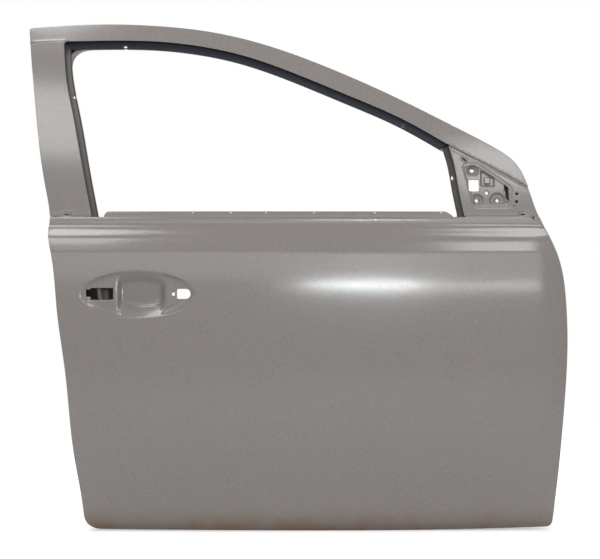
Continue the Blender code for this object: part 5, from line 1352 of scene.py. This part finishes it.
def make_channels(material, side_material):
    """Rear, header and front runs of the glass channel."""
    oval = ellipse(*frame_point(HEADER_OVAL_SHARES), *HEADER_OVAL, 24)
    small = circle(*frame_point(HEADER_FRONT_HOLE_SHARES), 0.0026)
    places = np.linspace(MITRE_GAP, window_head.length - MITRE_GAP, 160)
    make_channel("header_run", window_head, places, HEADER_REACH, [oval, small], "header_channel", material,
                 (FRONT_MITRE, REAR_MITRE))
    places = np.linspace(MITRE_GAP, at_level(rear_run, RUN_FOOT_SHARE), 120)
    hole = circle(*frame_point(PILLAR_OVAL_SHARES), 0.0031)
    make_channel("rear_run", rear_run, places, CHANNEL_REACH, [hole], "rear_channel", side_material,
                 (REAR_MITRE, 0.0))
    places = np.linspace(at_level(front_run, RUN_FOOT_SHARE), front_run.length - MITRE_GAP, 80)
    hole = ellipse(*frame_point(BAR_OVAL_SHARES), 0.0023, 0.0042, 24)
    make_channel("front_run", front_run, places, CHANNEL_REACH, [hole], "front_channel", side_material,
                 (0.0, FRONT_MITRE))


def make_belt_strip(material):
    """Outer belt reinforcement: a hat section whose top edge shows above the skin."""
    low, high = (DOOR_LENGTH * s for s in BELT_OUTER_SHARES)
    xs = np.linspace(low, high, 160)
    rows = []
    for share, depth in BELT_OUTER_PROFILE:
        z = np.full(len(xs), BELT_HEIGHT * share)
        rows.append(np.column_stack([xs, skin(xs, z) + depth * stretch(skin, xs, z), z]))
    net = Net()
    base = net.strip(rounded(rows, [0.002] * 4))
    top = BELT_HEIGHT * BELT_TOP_SHARE
    left, right = BELT_TOP_CORNERS
    end = [(high, top - right * 0.72), (high - right * 0.35, top - right * 0.30), (high - right, top)]
    start = [(low + left, top), (low + left * 0.25, top - left * 0.3), (low, top - left)]
    middle = [(x, top) for x in np.linspace(high - right, low + left, 120)[1:-1]]

    def surface(x, z):
        return skin(x, z) + BELT_TOP_GAP * stretch(skin, x, np.minimum(z, BELT_HEIGHT - 2 * SHEET_GAP))

    holes = [circle(DOOR_LENGTH * s, level(0.0192), BELT_HOLE_RADIUS, 16) for s in BELT_HOLE_SHARES]
    brim = [onto(points, surface) for points in (softened_path(end), middle, softened_path(start))]
    net.fill(np.concatenate([base] + brim), holes, (), surface, 0.004)
    return net.make("belt_strip", STIFFENER_SHEET, ["belt_reinforcement_outer"], material)


# Finishes


def add_node(tree, kind, settings=(), inputs=(), output=0):
    """Adds a node, first its settings and then the values or links of its sockets; gives one output."""
    node = tree.nodes.new(kind)
    for key, value in dict(settings).items():
        setattr(node, key, value)
    for key, value in dict(inputs).items():
        if isinstance(value, Value):
            tree.links.new(value.socket, node.inputs[key])
        else:
            node.inputs[key].default_value = value
    return Value(tree, node.outputs[output])


def tone(colour, level=1.0):
    """Colour with its alpha, lighter or darker by a level."""
    return tuple(c * level for c in colour) + (1.0,)


class Value:
    """Wraps a shader socket so that maths on it reads as Python expressions."""

    def __init__(self, tree, socket):
        self.tree = tree
        self.socket = socket

    def maths(self, operation, *values):
        return add_node(self.tree, "ShaderNodeMath", {"operation": operation}, dict(enumerate(values)))

    def __add__(self, other):
        return self.maths("ADD", self, other)

    __radd__ = __add__

    def __sub__(self, other):
        return self.maths("SUBTRACT", self, other)

    def __rsub__(self, other):
        return self.maths("SUBTRACT", other, self)

    def __mul__(self, other):
        return self.maths("MULTIPLY", self, other)

    __rmul__ = __mul__

    def between(self, low, high):
        """Smooth step from 0 at low to 1 at high."""
        return add_node(self.tree, "ShaderNodeMapRange", {"interpolation_type": "SMOOTHSTEP"},
                        {"Value": self, "From Min": low, "From Max": high}, "Result")


class Finish:
    """Procedural material on one Principled shader."""

    def __init__(self, name):
        self.material = bpy.data.materials.new(name)
        self.material.use_nodes = True
        self.tree = self.material.node_tree
        self.shader = self.tree.nodes["Principled BSDF"]
        self.place = self.node("ShaderNodeTexCoord", output="Object")

    def node(self, kind, settings=(), inputs=(), output=0):
        return add_node(self.tree, kind, settings, inputs, output)

    def noise(self, scale, detail, roughness):
        inputs = {"Vector": self.place, "Scale": scale, "Detail": detail, "Roughness": roughness}
        return self.node("ShaderNodeTexNoise", inputs=inputs, output="Fac")

    def axis(self, name):
        """One coordinate of the place on the surface."""
        return self.node("ShaderNodeSeparateXYZ", inputs={"Vector": self.place}, output=name)

    def mix(self, share, first, second):
        """Colour between two colours."""
        return self.node("ShaderNodeMix", {"data_type": "RGBA"}, {0: share, 6: first, 7: second}, 2)

    def bump(self, height, distance, **under):
        """Fine relief, over the normal of another where one is given."""
        inputs = {"Height": height, "Distance": distance, "Strength": 1.0, **under}
        return self.node("ShaderNodeBump", inputs=inputs)

    def set(self, **values):
        """Sets or links sockets of the shader by name, with underscores for spaces."""
        for key, value in values.items():
            socket = self.shader.inputs[key.replace("_", " ")]
            if isinstance(value, Value):
                self.tree.links.new(value.socket, socket)
            else:
                socket.default_value = value
        return self.material


def primer_finish(looks):
    """Dipped primer: fine grain, soft clouds, and a browner, darker colour towards the bottom."""
    finish = Finish("primer_coat")
    grain = finish.noise(480.0, 3.0, 0.65)
    clouds = finish.noise(7.0, 4.0, 0.55)
    foot_patches = finish.noise(11.0, 5.0, 0.6).between(0.42, 0.62)
    height = finish.axis("Z")
    foot = 1 - height.between(-0.455, -0.385)
    colour = finish.mix(grain.between(0.3, 0.7), tone(looks.primer, 0.84), tone(looks.primer, 1.16))
    colour = finish.mix(clouds.between(0.35, 0.65) * 0.35, colour, tone(looks.primer))
    # Browner, darker colour towards the bottom edge, in uneven patches
    colour = finish.mix(foot * (foot_patches * 0.55 + 0.35), colour, tone(looks.foot))
    skin_texture = finish.noise(260.0, 3.0, 0.5)
    normal = finish.bump(skin_texture, 0.00006)
    normal = finish.bump(grain, 0.00002, Normal=normal)
    return finish.set(Base_Color=colour, Roughness=clouds * 0.06 + grain * 0.06 + looks.primer_roughness,
                      Normal=normal, Specular_IOR_Level=0.5)


def simple_finish(name, colour, roughness, metallic=0.0):
    """Coated or bare steel with fine grain and soft clouds."""
    finish = Finish(name)
    fine = finish.noise(500.0, 2.0, 0.6)
    clouds = finish.noise(14.0, 3.0, 0.55)
    mixed = finish.mix(fine * 0.6 + clouds * 0.4, tone(colour, 0.85), tone(colour, 1.15))
    return finish.set(Base_Color=mixed, Roughness=clouds * 0.10 + fine * 0.05 + roughness, Metallic=metallic,
                      Normal=finish.bump(fine, 0.00004))


# Stage


def area_lamp(name, place, aim, width, height, power, tint=(1.0, 1.0, 1.0)):
    """Soft rectangular lamp that looks at a point."""
    lamp = bpy.data.lights.new(name, "AREA")
    lamp.shape = "RECTANGLE"
    lamp.size = width
    lamp.size_y = height
    lamp.energy = power
    lamp.color = tint
    holder = new_object(name, lamp)
    holder.visible_camera = False
    holder.location = place
    holder.rotation_euler = (Vector(aim) - Vector(place)).to_track_quat("-Z", "Y").to_euler()


def make_floor(settings):
    """Pale floor, seen white by the camera but for its shadow."""
    low = CAD_BOX[0][2]
    reach = settings.floor_reach
    net = bmesh.new()
    net.faces.new([net.verts.new((x, y, low)) for x, y in box_loop(-reach, reach, -reach, reach)])
    floor = new_object("floor", mesh_from(net, "floor"))
    finish = Finish("floor_paper")
    camera_ray = finish.node("ShaderNodeLightPath", output="Is Camera Ray")
    finish.set(Base_Color=tone(settings.floor), Roughness=0.9, Specular_IOR_Level=0.0)
    plain = Value(finish.tree, finish.shader.outputs[0])
    glow, white = (finish.node("ShaderNodeEmission", inputs={"Color": WHITE, "Strength": strength})
                   for strength in (settings.floor_lift, 1.0))
    near = finish.node("ShaderNodeAddShader", inputs={0: plain, 1: glow})
    away = finish.node("ShaderNodeVectorMath", {"operation": "LENGTH"}, {0: finish.place}, "Value")
    surface = finish.node("ShaderNodeMixShader", inputs={0: away.between(*FLOOR_FADE), 1: near, 2: white})
    both = finish.node("ShaderNodeMixShader", inputs={0: camera_ray, 1: plain, 2: surface})
    output = next(n for n in finish.tree.nodes if n.type == "OUTPUT_MATERIAL")
    finish.tree.links.new(both.socket, output.inputs["Surface"])
    floor.data.materials.append(finish.material)


def make_world():
    """Soft surrounding light, and white for the camera and for transmission rays."""
    world = bpy.data.worlds.new("studio")
    bpy.context.scene.world = world
    world.use_nodes = True
    tree = world.node_tree
    background = tree.nodes["Background"]
    background.inputs["Color"].default_value = WHITE
    camera, glass = (add_node(tree, "ShaderNodeLightPath", output=name)
                     for name in ("Is Camera Ray", "Is Transmission Ray"))
    strength = WORLD_LEVEL + camera.maths("MAXIMUM", camera, glass) * (1 - WORLD_LEVEL)
    tree.links.new(strength.socket, background.inputs["Strength"])


# Settings, operators and panel


def colour_setting(name, description, default):
    """Colour that a user can change."""
    return bpy.props.FloatVectorProperty(name=name, description=description, default=default, subtype="COLOR",
                                         size=3, min=0.0, max=1.0)


def power_setting(name, description, default):
    """Lamp power that a user can change."""
    return bpy.props.FloatProperty(name=name, description=description, default=default)


class LooksSettings(bpy.types.PropertyGroup):
    """Colours and levels of the door's finishes."""

    primer: colour_setting("Primer", "Colour of the dipped primer", (0.262, 0.239, 0.224))
    foot: colour_setting("Foot", "Browner colour along the bottom edge", (0.250, 0.160, 0.110))
    primer_roughness: bpy.props.FloatProperty(name="Primer roughness", min=0.0, max=1.0, default=0.09,
                                              description="Satin level of the primer", subtype="FACTOR")
    channel: colour_setting("Channel coat", "Dark coat of the header's channel", (0.055, 0.062, 0.075))
    channel_primer: colour_setting("Channel primer", "Coat of the side channels", (0.105, 0.098, 0.090))
    zinc: colour_setting("Zinc", "Zinc coat of the reinforcements", (0.46, 0.47, 0.48))
    mastic: colour_setting("Mastic", "Pads between beam and skin", (0.05, 0.045, 0.04))


class StageSettings(bpy.types.PropertyGroup):
    """Camera, lamps and floor."""

    camera_distance: bpy.props.FloatProperty(name="Camera distance", description="From the door's skin",
                                             default=4.0, unit="LENGTH")
    lens: bpy.props.FloatProperty(name="Lens", description="Focal length in millimetres", default=114.286)
    key_power: power_setting("Key lamp", "Power of the soft lamp above the camera", 13.5)
    strip_power: power_setting("Strip lamp", "Power of the lamp right of the key lamp", 8.0)
    wide_power: power_setting("Wide lamp", "Power of the wide lamp above the camera", 20.0)
    side_power: power_setting("Side lamps", "Power of the lamps above both ends", 12.0)
    back_power: power_setting("Back lamp", "Power of the lamp on the cabin side", 60.0)
    floor_lift: bpy.props.FloatProperty(name="Floor lift", default=0.42,
                                        description="How much brighter the camera sees the floor")
    floor_reach: bpy.props.FloatProperty(name="Floor reach", default=9.0, unit="LENGTH",
                                         description="Half the floor's width")
    floor: colour_setting("Floor", "Colour of the floor", (0.92, 0.92, 0.92))


class MeshOperator:
    """What the operators that build pieces have in common."""

    bl_options = {"REGISTER", "UNDO"}


class DOOR_OT_finishes(MeshOperator, bpy.types.Operator):
    """Makes the finishes and puts them on the frame's own pieces"""

    bl_idname = "door.finishes"
    bl_label = "Finishes"

    def execute(self, context):
        looks = context.scene.door_looks
        made = {"primer": primer_finish(looks),
                "channel_coat": simple_finish("dark_channel_coat", looks.channel, 0.36),
                "channel_primer": simple_finish("primed_channel", looks.channel_primer, 0.34),
                "zinc_steel": simple_finish("zinc_coat", looks.zinc, 0.34, 0.85),
                "mastic": simple_finish("mastic_pad", looks.mastic, 0.75)}
        FINISHES.update(made)
        for node, piece in frame["nodes"].items():
            piece.data.materials.clear()
            piece.data.materials.append(FINISHES[SLOTS[node]])
        return {"FINISHED"}


FINISHES = {}


class DOOR_OT_outer_panel(MeshOperator, bpy.types.Operator):
    """Builds the skin with its hem, shoulder and handle recess"""

    bl_idname = "door.outer_panel"
    bl_label = "Outer panel"

    def execute(self, context):
        make_outer_panel(FINISHES["primer"])
        return {"FINISHED"}


class DOOR_OT_inner_panel(MeshOperator, bpy.types.Operator):
    """Builds the inner panel with its walls, beads and openings"""

    bl_idname = "door.inner_panel"
    bl_label = "Inner panel"

    def execute(self, context):
        make_inner_panel(FINISHES["primer"])
        return {"FINISHED"}


class DOOR_OT_hard_parts(MeshOperator, bpy.types.Operator):
    """Builds the beam, plates, brackets, nuts and pads inside the door"""

    bl_idname = "door.hard_parts"
    bl_label = "Reinforcements"

    def execute(self, context):
        make_beam(FINISHES["zinc_steel"])
        make_mirror_plate(FINISHES["zinc_steel"])
        make_hard_parts()
        return {"FINISHED"}


class DOOR_OT_window_frame(MeshOperator, bpy.types.Operator):
    """Builds the pillar and the header of the window frame"""

    bl_idname = "door.window_frame"
    bl_label = "Window frame"

    def execute(self, context):
        make_pillar_outer(FINISHES["primer"])
        make_header_outer(FINISHES["primer"])
        make_sail(FINISHES["primer"])
        return {"FINISHED"}


class DOOR_OT_channels(MeshOperator, bpy.types.Operator):
    """Builds the glass channels and the belt strip"""

    bl_idname = "door.channels"
    bl_label = "Glass channels"

    def execute(self, context):
        make_channels(FINISHES["channel_coat"], FINISHES["channel_primer"])
        make_belt_strip(FINISHES["primer"])
        return {"FINISHED"}


class DOOR_OT_stage(MeshOperator, bpy.types.Operator):
    """Builds the floor, the lamps, the world and the camera"""

    bl_idname = "door.stage"
    bl_label = "Stage"

    def execute(self, context):
        settings = context.scene.door_stage
        scene = context.scene
        middle_x, middle_z = PICTURE_CENTRE[0] + SHIFT[0], PICTURE_CENTRE[1] + SHIFT[2]
        camera = bpy.data.cameras.new("camera")
        camera.lens = settings.lens
        camera.sensor_width = 36.0
        camera.clip_end = 50.0
        holder = new_object("camera", camera)
        holder.location = (middle_x, SHIFT[1] - settings.camera_distance, middle_z)
        holder.rotation_euler = (math.pi / 2, 0.0, 0.0)
        scene.camera = holder
        aim = (middle_x, 0.0, middle_z)
        area_lamp("key_lamp", (middle_x + 0.42, -3.6, middle_z + 0.62), aim, 0.62, 0.10,
                  settings.key_power, DAYLIGHT)
        area_lamp("strip_lamp", (middle_x + 1.10, -3.6, middle_z + 0.60), aim, 1.5, 0.12,
                  settings.strip_power)
        area_lamp("wide_lamp", (middle_x, -3.6, middle_z + 1.30), aim, 4.0, 1.0, settings.wide_power)
        for name, place, size, share in (("left_lamp", (-1.74, -1.75, 2.45), 0.8, 1.0),
                                         ("left_top_lamp", (-1.60, -0.50, 3.00), 0.7, 1.1),
                                         ("right_lamp", (0.42, -1.80, 1.84), 0.5, 0.45),
                                         ("right_top_lamp", (0.60, -0.80, 3.00), 0.7, 0.9)):
            side = 1 if place[0] > middle_x else -1
            area_lamp(name, place, (middle_x + side * 0.5, 0.0, 0.25), size, size,
                      settings.side_power * share)
        area_lamp("back_lamp", (middle_x, 3.4, 1.9), aim, 2.4, 1.4, settings.back_power)
        make_floor(settings)
        make_world()
        scene.view_settings.view_transform = "Standard"
        return {"FINISHED"}


class DOOR_PT_panel(bpy.types.Panel):
    """Lists the steps that build the door's looks"""

    bl_idname = "DOOR_PT_panel"
    bl_label = "Car door shell"
    bl_space_type = "VIEW_3D"
    bl_region_type = "UI"
    bl_category = "Door"

    def draw(self, context):
        for settings in (context.scene.door_looks, context.scene.door_stage):
            for name in settings.__annotations__:
                self.layout.prop(settings, name)
        for step in STEPS:
            self.layout.operator(step.bl_idname)


STEPS = (DOOR_OT_finishes, DOOR_OT_outer_panel, DOOR_OT_inner_panel, DOOR_OT_window_frame, DOOR_OT_channels,
         DOOR_OT_hard_parts, DOOR_OT_stage)
CLASSES = (LooksSettings, StageSettings) + STEPS + (DOOR_PT_panel,)


def register():
    for kind in CLASSES:
        bpy.utils.register_class(kind)
    bpy.types.Scene.door_looks = bpy.props.PointerProperty(type=LooksSettings)
    bpy.types.Scene.door_stage = bpy.props.PointerProperty(type=StageSettings)


def unregister():
    del bpy.types.Scene.door_looks
    del bpy.types.Scene.door_stage
    for kind in reversed(CLASSES):
        bpy.utils.unregister_class(kind)


def main():
    """Builds every piece and the stage."""
    register()
    for step in STEPS:
        getattr(bpy.ops.door, step.bl_idname.split(".")[1])()


if __name__ == "__main__":
    main()
